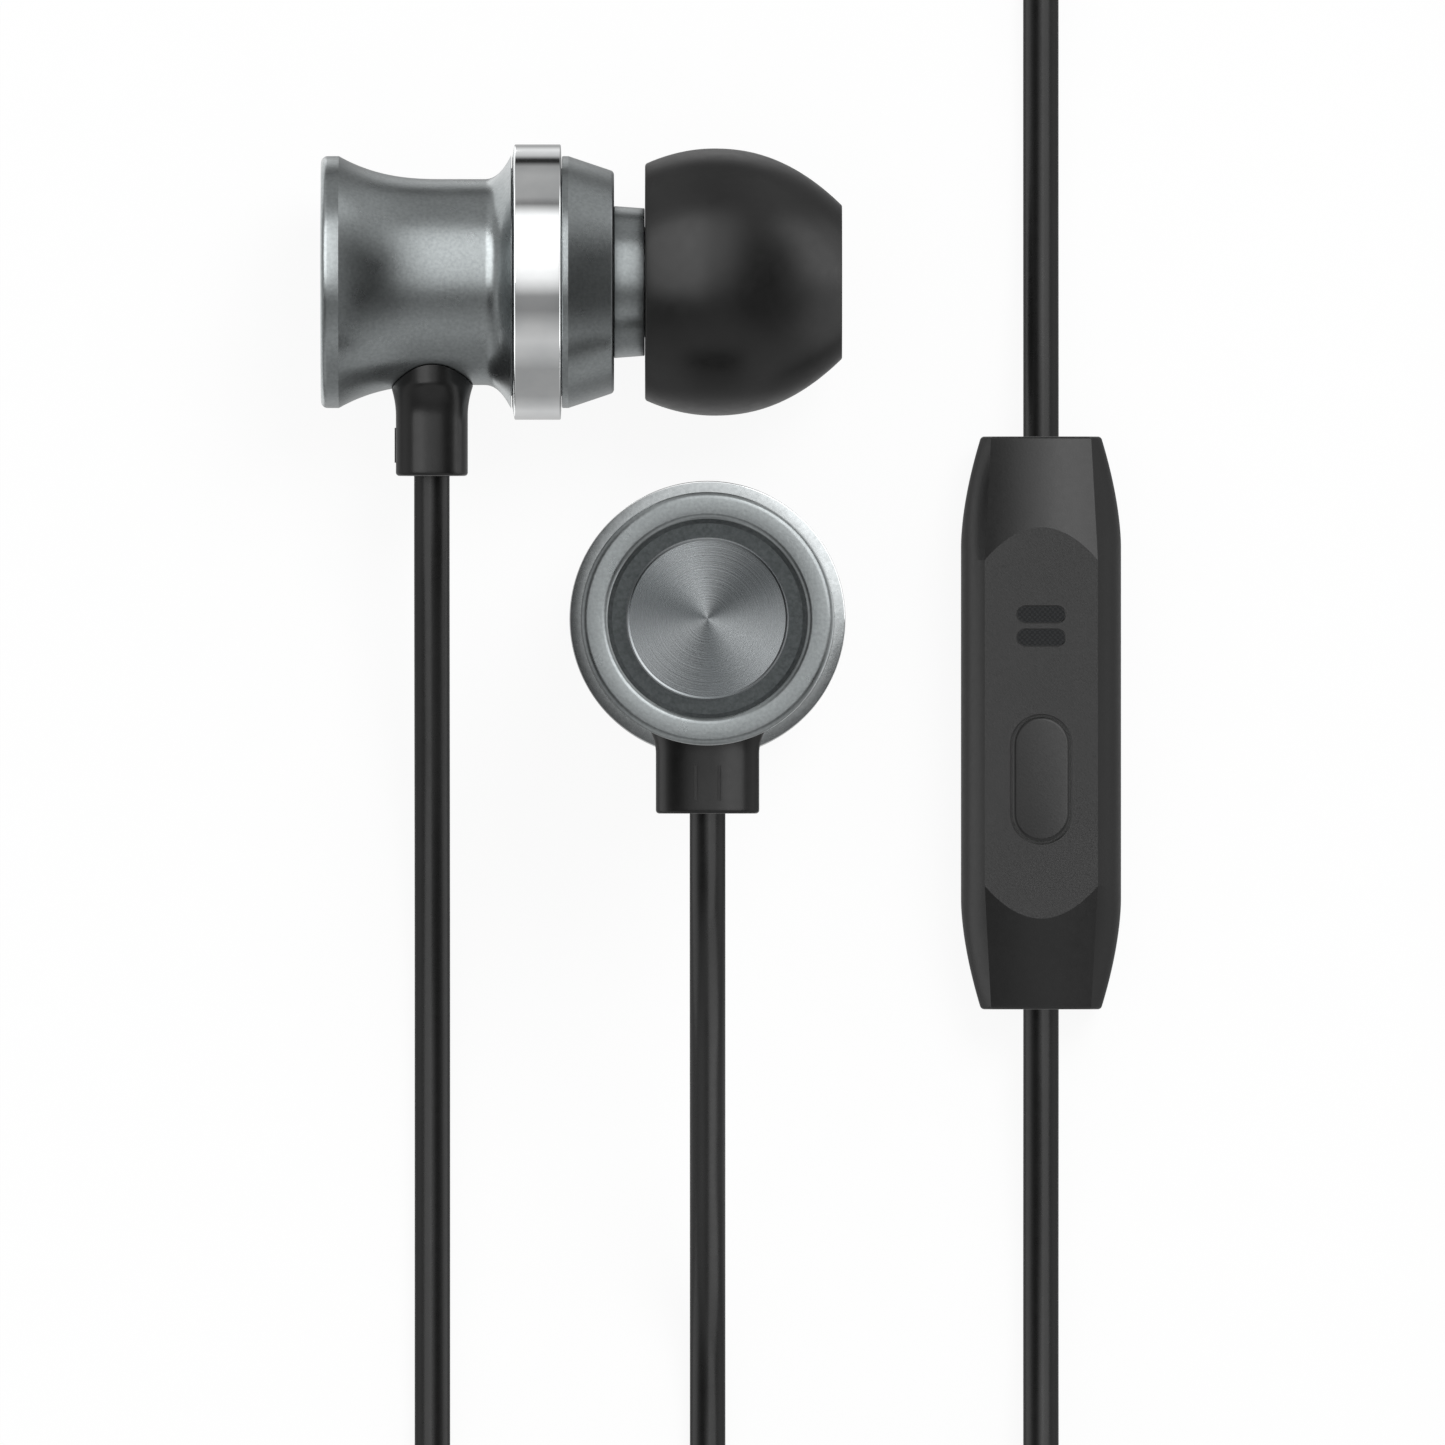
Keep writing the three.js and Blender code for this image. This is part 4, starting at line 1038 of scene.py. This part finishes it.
def splitter():
    length = SPLITTER_HIGH[X] - SPLITTER_LOW[X]
    half_height = SPLITTER_HIGH[Z] / 2
    edge = [(SPLITTER_EDGE - rise, inset) for inset, rise in reversed(quarter(SPLITTER_EDGE))]
    stations = [
        *edge,
        *((along, 0) for along in between(SPLITTER_EDGE, length - SPLITTER_EDGE, FLARE_STEPS)[1:-1]),
        *((length - along, inset) for along, inset in reversed(edge)),
    ]
    rings = []
    for along, inset in stations:
        width = SPLITTER_WIDTH + (SPLITTER_END_WIDTH - SPLITTER_WIDTH) * (along / length) ** 2
        ring = []
        for angle in oval_angles():
            y, z = oval(width / 2 - inset, half_height - inset, SPLITTER_SQUARENESS, angle)
            ring.append((SPLITTER_LOW[X] + along, SPLITTER_Y * MM + y, half_height + z))
        rings.append(ring)
    return skinned("cord_splitter", rings)


def plug_along(node):
    """Where a plug node starts and ends along the plug, from the cord's end to the tip."""
    low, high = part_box(node)
    return PLUG_START - high[X], PLUG_START - low[X]


def relief_outline():
    start, end = plug_along("plug_strain_relief")
    flare = end - start - BARREL_NECK_LENGTH
    corners = [(0, start, 0), (RELIEF_END_RADIUS, start, SOFT_EDGE)]
    for i in range(RELIEF_RIBS):
        rib = start + flare * (i + 1) / (RELIEF_RIBS + 1)
        radius = RELIEF_END_RADIUS + (RELIEF_RADIUS - RELIEF_END_RADIUS) * (rib - start) / flare
        half = RELIEF_GROOVE / 2
        corners += [
            (radius, rib - half, FINE_EDGE),
            (radius - half, rib - half / 2, FINE_EDGE),
            (radius - half, rib + half / 2, FINE_EDGE),
            (radius, rib + half, FINE_EDGE),
        ]
    return [*corners, (RELIEF_RADIUS, start + flare, 0), (RELIEF_RADIUS, end, 0), (0, end, 0)]


def barrel_outline():
    start, end = plug_along("plug_barrel")
    inner = RELIEF_RADIUS + SEAM
    return [
        (inner, start, FINE_EDGE),
        (BARREL_RADIUS - BARREL_CHAMFER, start, FINE_EDGE),
        (BARREL_RADIUS, start + BARREL_CHAMFER, SOFT_EDGE),
        (BARREL_RADIUS, end - BARREL_NECK_LENGTH - BARREL_CHAMFER, SOFT_EDGE),
        (BARREL_NECK, end - BARREL_NECK_LENGTH, FINE_EDGE),
        (BARREL_NECK, end, FINE_EDGE),
        (0, end, 0),
        (0, start + BARREL_NECK_LENGTH + SEAM, 0),
        (inner, start + BARREL_NECK_LENGTH + SEAM, 0),
        (inner, start, 0),
    ]


def rod(node, radius, slot):
    start, end = plug_along(node)
    outline = [(0, start, 0), (radius, start, FINE_EDGE), (radius, end, FINE_EDGE), (0, end, 0)]
    return node, outline, slot


def tip_outline():
    start, end = plug_along("plug_tip_contact")
    length = end - start
    return [
        (0, start, 0),
        (CONTACT_RADIUS, start, FINE_EDGE),
        (TIP_NOTCH, start + TIP_NOTCH_SHARE * length, 2 * SOFT_EDGE),
        (CONTACT_RADIUS, start + TIP_WIDEST_SHARE * length, 4 * SOFT_EDGE),
        (TIP_END_RADIUS, end, 4 * SOFT_EDGE),
        (0, end, 0),
    ]


def make_plug(finishes):
    contacts = ("plug_sleeve_contact", "plug_ring_contact_1", "plug_ring_contact_2")
    insulators = ("plug_insulator_1", "plug_insulator_2", "plug_insulator_3")
    parts = [
        ("plug_strain_relief", relief_outline(), "black_rubber"),
        ("plug_barrel", barrel_outline(), "gunmetal"),
        *(rod(node, CONTACT_RADIUS, "gold") for node in contacts),
        *(rod(node, INSULATOR_RADIUS, "insulator") for node in insulators),
        ("plug_tip_contact", tip_outline(), "gold"),
    ]
    place = turned_to((PLUG_START, PLUG_Y * MM, PLUG_Z * MM), (0, 0, -1), (0, 1, 0), (1, 0, 0))
    pieces = []
    for node, outline, slot in parts:
        piece = turned(f"{node}_smooth", rounded(outline), TURNED_SIDES // 2)
        piece.matrix_world = place
        pieces.append(dressed(piece, ROOT, slot, finishes[slot], node))
    return pieces


# Materials

# A noise pattern keeps mostly to these levels
NOISE_LOW, NOISE_HIGH = 0.3, 0.7
SRGB_TOE = 0.04045
SRGB_TOE_SLOPE = 12.92
SRGB_OFFSET = 0.055
SRGB_POWER = 2.4
POLISH_STRETCH = 60
# Wedges of painted sheen on the spun disc, and how far they are turned
PAINTED_SHEEN_WEDGES = 3
PAINTED_SHEEN_TURN = radians(114)


def colour(code):
    """A written sRGB colour such as #63686a as linear light."""
    values = [part / 255 for part in bytes.fromhex(code[1:])]
    return (*(
        v / SRGB_TOE_SLOPE if v <= SRGB_TOE else ((v + SRGB_OFFSET) / (1 + SRGB_OFFSET)) ** SRGB_POWER
        for v in values
    ), 1)


def add(material, kind, inputs=(), **settings):
    """Adds a node, sets its settings and fills its inputs with values or other nodes' outputs."""
    node = material.node_tree.nodes.new(kind)
    for name, value in settings.items():
        setattr(node, name, value)
    for name, value in dict(inputs).items():
        if isinstance(value, bpy.types.NodeSocket):
            material.node_tree.links.new(value, node.inputs[name])
        else:
            node.inputs[name].default_value = value
    return node


def calculate(material, operation, *values):
    inputs = dict(enumerate(values))
    return add(material, "ShaderNodeMath", inputs, operation=operation).outputs["Value"]


def blended(material, share, first, second):
    """Mixes two colours or outputs by a share."""
    mix = add(material, "ShaderNodeMix", {0: share, 6: first, 7: second}, data_type="RGBA")
    return mix.outputs[2]


def shader_of(material):
    return material.node_tree.nodes["Principled BSDF"]


def plain(name, code, values):
    """A material of one colour, with values for the shader's sockets."""
    material = bpy.data.materials.new(name)
    material.use_nodes = True
    for socket, value in {"Base Color": colour(code), **values}.items():
        shader_of(material).inputs[socket].default_value = value
    return material


def local_place(material):
    return add(material, "ShaderNodeTexCoord").outputs["Object"]


def pattern(material, kind, size, **settings):
    """A pattern in the piece's own space, whose cells are about a size across."""
    inputs = {"Vector": local_place(material), "Scale": 1 / size}
    return add(material, kind, inputs, **settings).outputs


def grain(material, size, detail=3, stretch=(1, 1, 1)):
    """A noise pattern whose spots are about a size across."""
    mapped = add(material, "ShaderNodeMapping", {"Vector": local_place(material), "Scale": stretch})
    inputs = {"Vector": mapped.outputs["Vector"], "Scale": 1 / size, "Detail": detail}
    return add(material, "ShaderNodeTexNoise", inputs).outputs["Fac"]


def spread_over(material, source, low, high):
    inputs = {"Value": source, "From Min": NOISE_LOW, "From Max": NOISE_HIGH}
    inputs |= {"To Min": low, "To Max": high}
    return add(material, "ShaderNodeMapRange", inputs).outputs["Result"]


def link(material, source, socket):
    material.node_tree.links.new(source, shader_of(material).inputs[socket])


def tinted(material, source, dark, light):
    share = spread_over(material, source, 0, 1)
    link(material, blended(material, share, colour(dark), colour(light)), "Base Color")


def finished(material, rough_source, smooth, rough, bump_source, height):
    """Lets patterns vary a material's roughness and raise bumps of a height."""
    link(material, spread_over(material, rough_source, smooth, rough), "Roughness")
    inputs = {"Height": bump_source, "Distance": height, "Strength": 1}
    link(material, add(material, "ShaderNodeBump", inputs).outputs["Normal"], "Normal")
    return material


def blasted_metal(name, dark, light, smooth, rough, depth=0.003 * MM):
    material = plain(name, light, {"Metallic": 1})
    tinted(material, grain(material, 0.16 * MM), dark, light)
    speckle = grain(material, 0.12 * MM, detail=2)
    return finished(material, grain(material, 1.6 * MM), smooth, rough, speckle, depth)


def spun_disc():
    """Metal with a lathe's fine rings, and a sheen painted into its colour in wedges round its middle.
    """
    material = plain("spun_disc", "#b8bcbd", {"Metallic": 1, "Anisotropic": 0.85})
    apart = add(material, "ShaderNodeSeparateXYZ", {"Vector": local_place(material)}).outputs
    flat = add(material, "ShaderNodeCombineXYZ", {"X": apart["X"], "Y": apart["Y"]}).outputs["Vector"]
    radius = add(material, "ShaderNodeVectorMath", {0: flat}, operation="LENGTH").outputs["Value"]
    rings = add(
        material,
        "ShaderNodeTexNoise",
        {"W": radius, "Scale": 1 / (0.07 * MM), "Detail": 3},
        noise_dimensions="1D",
    ).outputs["Fac"]
    # The colour turns lighter and darker in wedges round the disc's middle: a painted sheen where spun
    # metal catches the light.
    turn = calculate(material, "ARCTAN2", apart["Y"], apart["X"])
    wave = calculate(material, "COSINE", calculate(material, "MULTIPLY_ADD", turn, PAINTED_SHEEN_WEDGES, PAINTED_SHEEN_TURN))
    share = add(material, "ShaderNodeMapRange", {"Value": wave, "From Min": -1, "From Max": 1})
    painted_sheen_colour = blended(material, share.outputs["Result"], colour("#6c7072"), colour("#a2a6a8"))
    link(material, painted_sheen_colour, "Base Color")
    tangent = add(material, "ShaderNodeTangent", direction_type="RADIAL", axis="Z")
    link(material, tangent.outputs["Tangent"], "Tangent")
    return finished(material, rings, 0.2, 0.34, rings, 0.002 * MM)


def polished(name, dark, light, smooth, rough):
    material = plain(name, light, {"Metallic": 1})
    lines = grain(material, 0.05 * MM, stretch=(1 / POLISH_STRETCH, 1 / POLISH_STRETCH, 1))
    tinted(material, grain(material, 2.2 * MM), dark, light)
    return finished(material, lines, smooth, rough, lines, 0.0004 * MM)


def rubber(name, dark, light, smooth, rough, pore, depth, values=()):
    material = plain(name, light, {"Specular IOR Level": 0.5, **dict(values)})
    tinted(material, grain(material, 1.4 * MM, detail=5), dark, light)
    return finished(material, grain(material, 0.5 * MM), smooth, rough, grain(material, pore), depth)


def silicone():
    glow = {"Subsurface Weight": 0.15, "Subsurface Radius": (MM, MM, MM), "Subsurface Scale": 0.4}
    return rubber("silicone", "#131313", "#181818", 0.3, 0.36, 0.12 * MM, 0.0015 * MM, glow)


def moulded_plastic():
    material = plain("moulded_plastic", "#1c1c1c", {"Specular IOR Level": 0.58})
    tinted(material, grain(material, 2.6 * MM, detail=4), "#1b1b1b", "#1e1e1e")
    texture = grain(material, 0.11 * MM)
    return finished(material, grain(material, 0.3 * MM), 0.32, 0.38, texture, 0.004 * MM)


def wound_copper():
    material = plain("wound_copper", "#b4683a", {"Metallic": 1})
    winding = pattern(material, "ShaderNodeTexWave", 0.8 * MM)["Fac"]
    tinted(material, winding, "#8c4a24", "#c87a48")
    return finished(material, winding, 0.25, 0.5, winding, 0.02 * MM)


def circuit_board():
    material = plain("circuit_board", "#1e5a3a", {"Specular IOR Level": 0.5})
    cells = pattern(material, "ShaderNodeTexVoronoi", 1.2 * MM, distance="MANHATTAN")["Distance"]
    tinted(material, cells, "#144830", "#3c7a50")
    return finished(material, grain(material, 0.3 * MM, detail=2), 0.3, 0.5, cells, 0.02 * MM)


def fine_gauze():
    material = plain("fine_gauze", "#4a4d4e", {"Metallic": 1})
    weave = pattern(material, "ShaderNodeTexChecker", 0.12 * MM)["Fac"]
    tinted(material, weave, "#424344", "#58595a")
    return finished(material, weave, 0.45, 0.6, weave, 0.02 * MM)


def make_materials():
    """Every finish by its slot: name, dark and light spots, roughness range, pore size and depth."""
    return {
        "gunmetal": blasted_metal("gunmetal", "#989d9e", "#a8adae", 0.26, 0.33),
        # Darker metal for the recess: painted shade
        "recess": blasted_metal("recess_metal", "#4c5051", "#5c6061", 0.3, 0.4),
        "brushed_metal": spun_disc(),
        "chrome": polished("bright_ring", "#e6e8e9", "#f6f7f7", 0.04, 0.09),
        "satin": blasted_metal("satin_ring_face", "#a8acad", "#b8bcbd", 0.24, 0.3, 0.0015 * MM),
        "black_rubber": rubber("black_rubber", "#131313", "#181818", 0.28, 0.34, 0.1 * MM, 0.002 * MM),
        "silicone": silicone(),
        "cord": rubber("cord_sheath", "#131313", "#171717", 0.26, 0.32, 0.16 * MM, 0.0015 * MM),
        "black_plastic": moulded_plastic(),
        "inner_plastic": rubber("inner_plastic", "#1c1c1d", "#2c2c2d", 0.35, 0.5, 0.3 * MM, 0.003 * MM),
        "gauze": fine_gauze(),
        "steel": blasted_metal("pressed_steel", "#8a8d8f", "#b4b7b8", 0.22, 0.36),
        "magnet": blasted_metal("plated_magnet", "#6a6c70", "#9a9ca0", 0.16, 0.3),
        "copper": wound_copper(),
        "film": rubber("diaphragm_film", "#b8b09a", "#cfc8b4", 0.3, 0.45, 0.2 * MM, 0.004 * MM),
        "circuit": circuit_board(),
        "gold": polished("gold_contact", "#c8993e", "#e2b75c", 0.12, 0.2),
        "insulator": rubber("white_insulator", "#cfcfca", "#deded8", 0.4, 0.55, 0.15 * MM, 0.003 * MM),
    }


# Finishes of the solids inside each earbud and inside the remote
EARBUD_INSIDE = {
    "driver_frame": "inner_plastic",
    "driver_yoke": "steel",
    "magnet": "magnet",
    "pole_plate": "steel",
    "voice_coil": "copper",
    "diaphragm": "film",
    "terminal_board": "circuit",
}
REMOTE_INSIDE = {
    "remote_circuit_board": "circuit",
    "remote_switch_body": "steel",
    "remote_switch_plunger": "inner_plastic",
    "remote_microphone": "steel",
    "remote_microphone_gauze": "gauze",
}


def dress_inner_nodes(finishes):
    inner = {f"{side}_{part}": finish for side in BUD_FRAMES for part, finish in EARBUD_INSIDE.items()}
    for name, finish in {**inner, **REMOTE_INSIDE}.items():
        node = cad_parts[name]
        node.data.materials.clear()
        node.data.materials.append(finishes[finish])


# Floor, light and world

# Brightness of what shiny surfaces see, by degrees from straight up towards the photograph's top
SKY_ALONG = [
    (-180, 0.5), (-159, 0.54), (-140, 0.63), (-112, 0.34), (-79, 0.33), (-65, 0.48), (-51, 0.58),
    (-37, 0.45), (-24, 0.26), (-12, 0.29), (-4, 0.72), (3, 1.02), (10, 1.14), (25, 1.38),
    (46, 1.42), (58, 1.2), (64, 0.62), (69, 0.2), (76, 0.37), (101, 0.41), (114, 0.34),
    (121, 0.03), (126, 0.03), (133, 0.6), (147, 0.9), (159, 0.42), (180, 0.5),
]
# The same by degrees from straight up towards either side
SKY_ASIDE = [(0, 0.05), (40, 0.05), (50, 0.14), (58, 0.32), (75, 0.5), (90, 0.55)]
SKY_UPPER_SIDE = 0.58
SKY_BELOW = 0.25
# How far each blend of the world reaches, as angles or as shares of a direction's length
CORE_BLEND = (radians(4), radians(23))
UPPER_BLEND_SHARES = (0.3, 0.95)
BELOW_BLEND_SHARES = (0.25, 0.55)
ROUND_LIGHT = 0.62
KEY_POWER = 5.2
KEY_SIZE = 0.5
KEY_PLACE = Vector((0.3, 0.45, 0.9))
BOX_DISTANCE = 1.5
# Panels over the set: brightness, and where they start and end, in degrees, away from the
# middle towards their own side and towards the photograph's top
LEFT_METAL_BOX = (2.6, (11, 52), (0, 58))
RIGHT_METAL_BOX = (2, (11, 52), (0, 58))
DARK_BOX = (1.8, (8, 50), (-12, 60))
CORD_BOX = (1.35, (6, 55), (-45, 60))
SLOPE_BOX = (0.85, (6, 52), (-112, -48))
# Panels in other directions: brightness, direction, and half their spread along and across
RIM_BOX = (1, (0.88, 0.41, 0.24), (24, 14))
CORNER_BOX = (0.55, (0.78, 0.62, 0), (16, 12))
FLOOR_BOX = (0.9, (0.66, 0.12, -0.74), (40, 32))
EDGE_BOX = (0.5, (1, 0, -0.1), (40, 24))
RING_BOX = (1.4, (1, 0, 0.25), (50, 42))
FLOOR_GLOW = 0.92
FLOOR_WIDTH = 6
FLOOR_DROP = 0.02 * MM
DARK_FINISHES = ("black_rubber", "silicone", "moulded_plastic")


def grey(level):
    return (level, level, level, 1)


def eased(material, source, start, end):
    inputs = {"Value": source, "From Min": start, "From Max": end}
    ramp = add(material, "ShaderNodeMapRange", inputs, interpolation_type="SMOOTHSTEP")
    return ramp.outputs["Result"]


def sky_ramp(world, source, stops):
    """Brightness along stops of (degrees, level)."""
    first, last = stops[0][0], stops[-1][0]
    inputs = {"Value": source, "From Min": radians(first), "From Max": radians(last)}
    scaled = add(world, "ShaderNodeMapRange", inputs).outputs["Result"]
    ramp = add(world, "ShaderNodeValToRGB", {"Fac": scaled})
    elements = ramp.color_ramp.elements
    while len(elements) < len(stops):
        elements.new(1 / 2)
    for element, (angle, level) in zip(elements, stops):
        element.position = (angle - first) / (last - first)
        element.color = grey(level)
    return ramp.outputs["Color"]


def make_world():
    """A studio for shiny surfaces, even light for the rest, and white for the camera."""
    world = bpy.data.worlds.new("studio")
    world.use_nodes = True
    world.cycles.sampling_method = "NONE"
    bpy.context.scene.world = world
    direction = add(world, "ShaderNodeTexCoord").outputs["Generated"]
    parts = add(world, "ShaderNodeSeparateXYZ", {"Vector": direction}).outputs
    along = sky_ramp(world, calculate(world, "ARCTAN2", parts["Y"], parts["Z"]), SKY_ALONG)
    tilt = calculate(world, "ABSOLUTE", calculate(world, "ARCSINE", parts["X"]))
    upper = eased(world, calculate(world, "ABSOLUTE", parts["Y"]), *UPPER_BLEND_SHARES)
    around = blended(world, upper, sky_ramp(world, tilt, SKY_ASIDE), grey(SKY_UPPER_SIDE))
    below = eased(world, calculate(world, "MULTIPLY", parts["Z"], -1), *BELOW_BLEND_SHARES)
    aside = blended(world, below, around, grey(SKY_BELOW))
    studio = blended(world, eased(world, tilt, *CORE_BLEND), along, aside)
    path = add(world, "ShaderNodeLightPath").outputs
    lit = blended(world, path["Is Glossy Ray"], grey(ROUND_LIGHT), studio)
    open_view = calculate(world, "MAXIMUM", path["Is Camera Ray"], path["Is Transmission Ray"])
    background = world.node_tree.nodes["Background"]
    world.node_tree.links.new(blended(world, open_view, lit, grey(1)), background.inputs["Color"])


def aimed_lamp(name, data, place):
    lamp = placed(name, data)
    lamp.location = place
    lamp.rotation_euler = (PHOTO_CENTRE - place).to_track_quat("-Z", "Y").to_euler()
    lamp.visible_camera = False
    return lamp


def make_key_light():
    data = bpy.data.lights.new("key", "AREA")
    data.shape = "DISK"
    data.size = KEY_SIZE
    data.energy = KEY_POWER
    aimed_lamp("key", data, KEY_PLACE).visible_glossy = False


def panel(name, width, length, level, place, pieces):
    """A lamp of an even brightness that only some pieces mirror, and that lights nothing else."""
    data = bpy.data.lights.new(name, "AREA")
    data.shape = "RECTANGLE"
    data.size = width
    data.size_y = length
    data.energy = level * pi * width * length
    lamp = aimed_lamp(name, data, place)
    lamp.visible_diffuse = False
    lamp.light_linking.receiver_collection = bpy.data.collections.new(f"{name}_pieces")
    for piece in pieces:
        lamp.light_linking.receiver_collection.objects.link(piece)
    return lamp


def make_soft_box(name, side, pieces, box):
    """A panel over the set, from one angle to another across and towards the photograph's top."""
    level, across, up = box
    near, far = (BOX_DISTANCE * tan(radians(angle)) for angle in across)
    tilt = radians(sum(up) / 2)
    length = 2 * BOX_DISTANCE * tan(radians(up[1] - up[0]) / 2)
    offset = Vector((side * (near + far) / 2, BOX_DISTANCE * sin(tilt), BOX_DISTANCE * cos(tilt)))
    lamp = panel(name, far - near, length, level, PHOTO_CENTRE + offset, pieces)
    lamp.rotation_euler = (-tilt, 0, 0)


def make_far_box(name, side, pieces, box):
    """A panel in some direction, mirrored for the other side."""
    level, (x, y, z), spread = box
    width, length = (2 * BOX_DISTANCE * tan(radians(angle)) for angle in spread)
    towards = Vector((side * x, y, z)).normalized()
    panel(name, width, length, level, PHOTO_CENTRE + towards * BOX_DISTANCE, pieces)


def by_darkness(pieces):
    """The dark pieces of a list, and its other pieces."""
    dark = [piece for piece in pieces if piece.data.materials[0].name.split(".")[0] in DARK_FINISHES]
    return dark, [piece for piece in pieces if piece not in dark]


def make_panels(left_pieces, left_cord, right_pieces, right_cords):
    """Lights the left earbud and its cord from the left and the rest from the right, as photographed."""
    for name, side, pieces, cords, metal_box in (
        ("left", -1, left_pieces, [left_cord], LEFT_METAL_BOX),
        ("right", 1, right_pieces, right_cords, RIGHT_METAL_BOX),
    ):
        dark, metal = by_darkness(pieces)
        make_soft_box(f"{name}_metal_box", side, metal, metal_box)
        make_soft_box(f"{name}_dark_box", side, dark, DARK_BOX)
        make_soft_box(f"{name}_cord_box", side, cords, CORD_BOX)
        make_far_box(f"{name}_floor_box", side, metal, FLOOR_BOX)
        make_far_box(f"{name}_edge_box", -side, [*dark, *cords], EDGE_BOX)
    make_soft_box("slope_box", 1, right_cords[:1], SLOPE_BOX)
    left_dark, left_metal = by_darkness(left_pieces)
    make_far_box("rim_box", 1, left_dark, RIM_BOX)
    make_far_box("corner_box", 1, left_metal, CORNER_BOX)
    ring = [piece for piece in left_pieces if piece.name == "left_ring"]
    for side in (-1, 1):
        make_far_box("ring_box", side, ring, RING_BOX)


def make_floor():
    material = plain("white_table", "#ffffff", {"Roughness": 0.9})
    tinted(material, grain(material, 3 * MM, detail=4), "#fbfbfb", "#ffffff")
    seen = add(material, "ShaderNodeLightPath").outputs["Is Camera Ray"]
    glow = add(material, "ShaderNodeEmission", {"Strength": 1}).outputs["Emission"]
    share = calculate(material, "MULTIPLY", seen, FLOOR_GLOW)
    inputs = {0: share, 1: shader_of(material).outputs["BSDF"], 2: glow}
    mixed = add(material, "ShaderNodeMixShader", inputs).outputs["Shader"]
    output = material.node_tree.nodes["Material Output"]
    material.node_tree.links.new(mixed, output.inputs["Surface"])
    half = FLOOR_WIDTH / 2
    corners = [(-half, -half), (half, -half), (half, half), (-half, half)]
    floor = new_object("table", [(x, y, -FLOOR_DROP) for x, y in corners], [(0, 1, 2, 3)], False)
    floor.data.materials.append(material)
    floor.visible_glossy = False
    floor.visible_shadow = False


# The whole scene

bpy.context.scene.view_settings.view_transform = "Standard"
make_camera()
make_floor()
make_world()
make_key_light()
FINISHES = make_materials()
left_pieces = make_earbud("left", FINISHES)
right_pieces = make_earbud("right", FINISHES)
remote_pieces = make_remote(FINISHES)
dress_inner_nodes(FINISHES)
plug_pieces = make_plug(FINISHES)
splitter_piece = dressed(splitter(), ROOT, "black_rubber", FINISHES["black_rubber"], "splitter")
left_cord, *right_cords = make_cords(FINISHES["cord"])
right_set = [*right_pieces, *remote_pieces, splitter_piece, *plug_pieces]
make_panels(left_pieces, left_cord, right_set, right_cords)

# Shiny surfaces mirror the studio and none of these pieces
for piece in (left_cord, *right_cords, *right_set):
    piece.visible_glossy = False
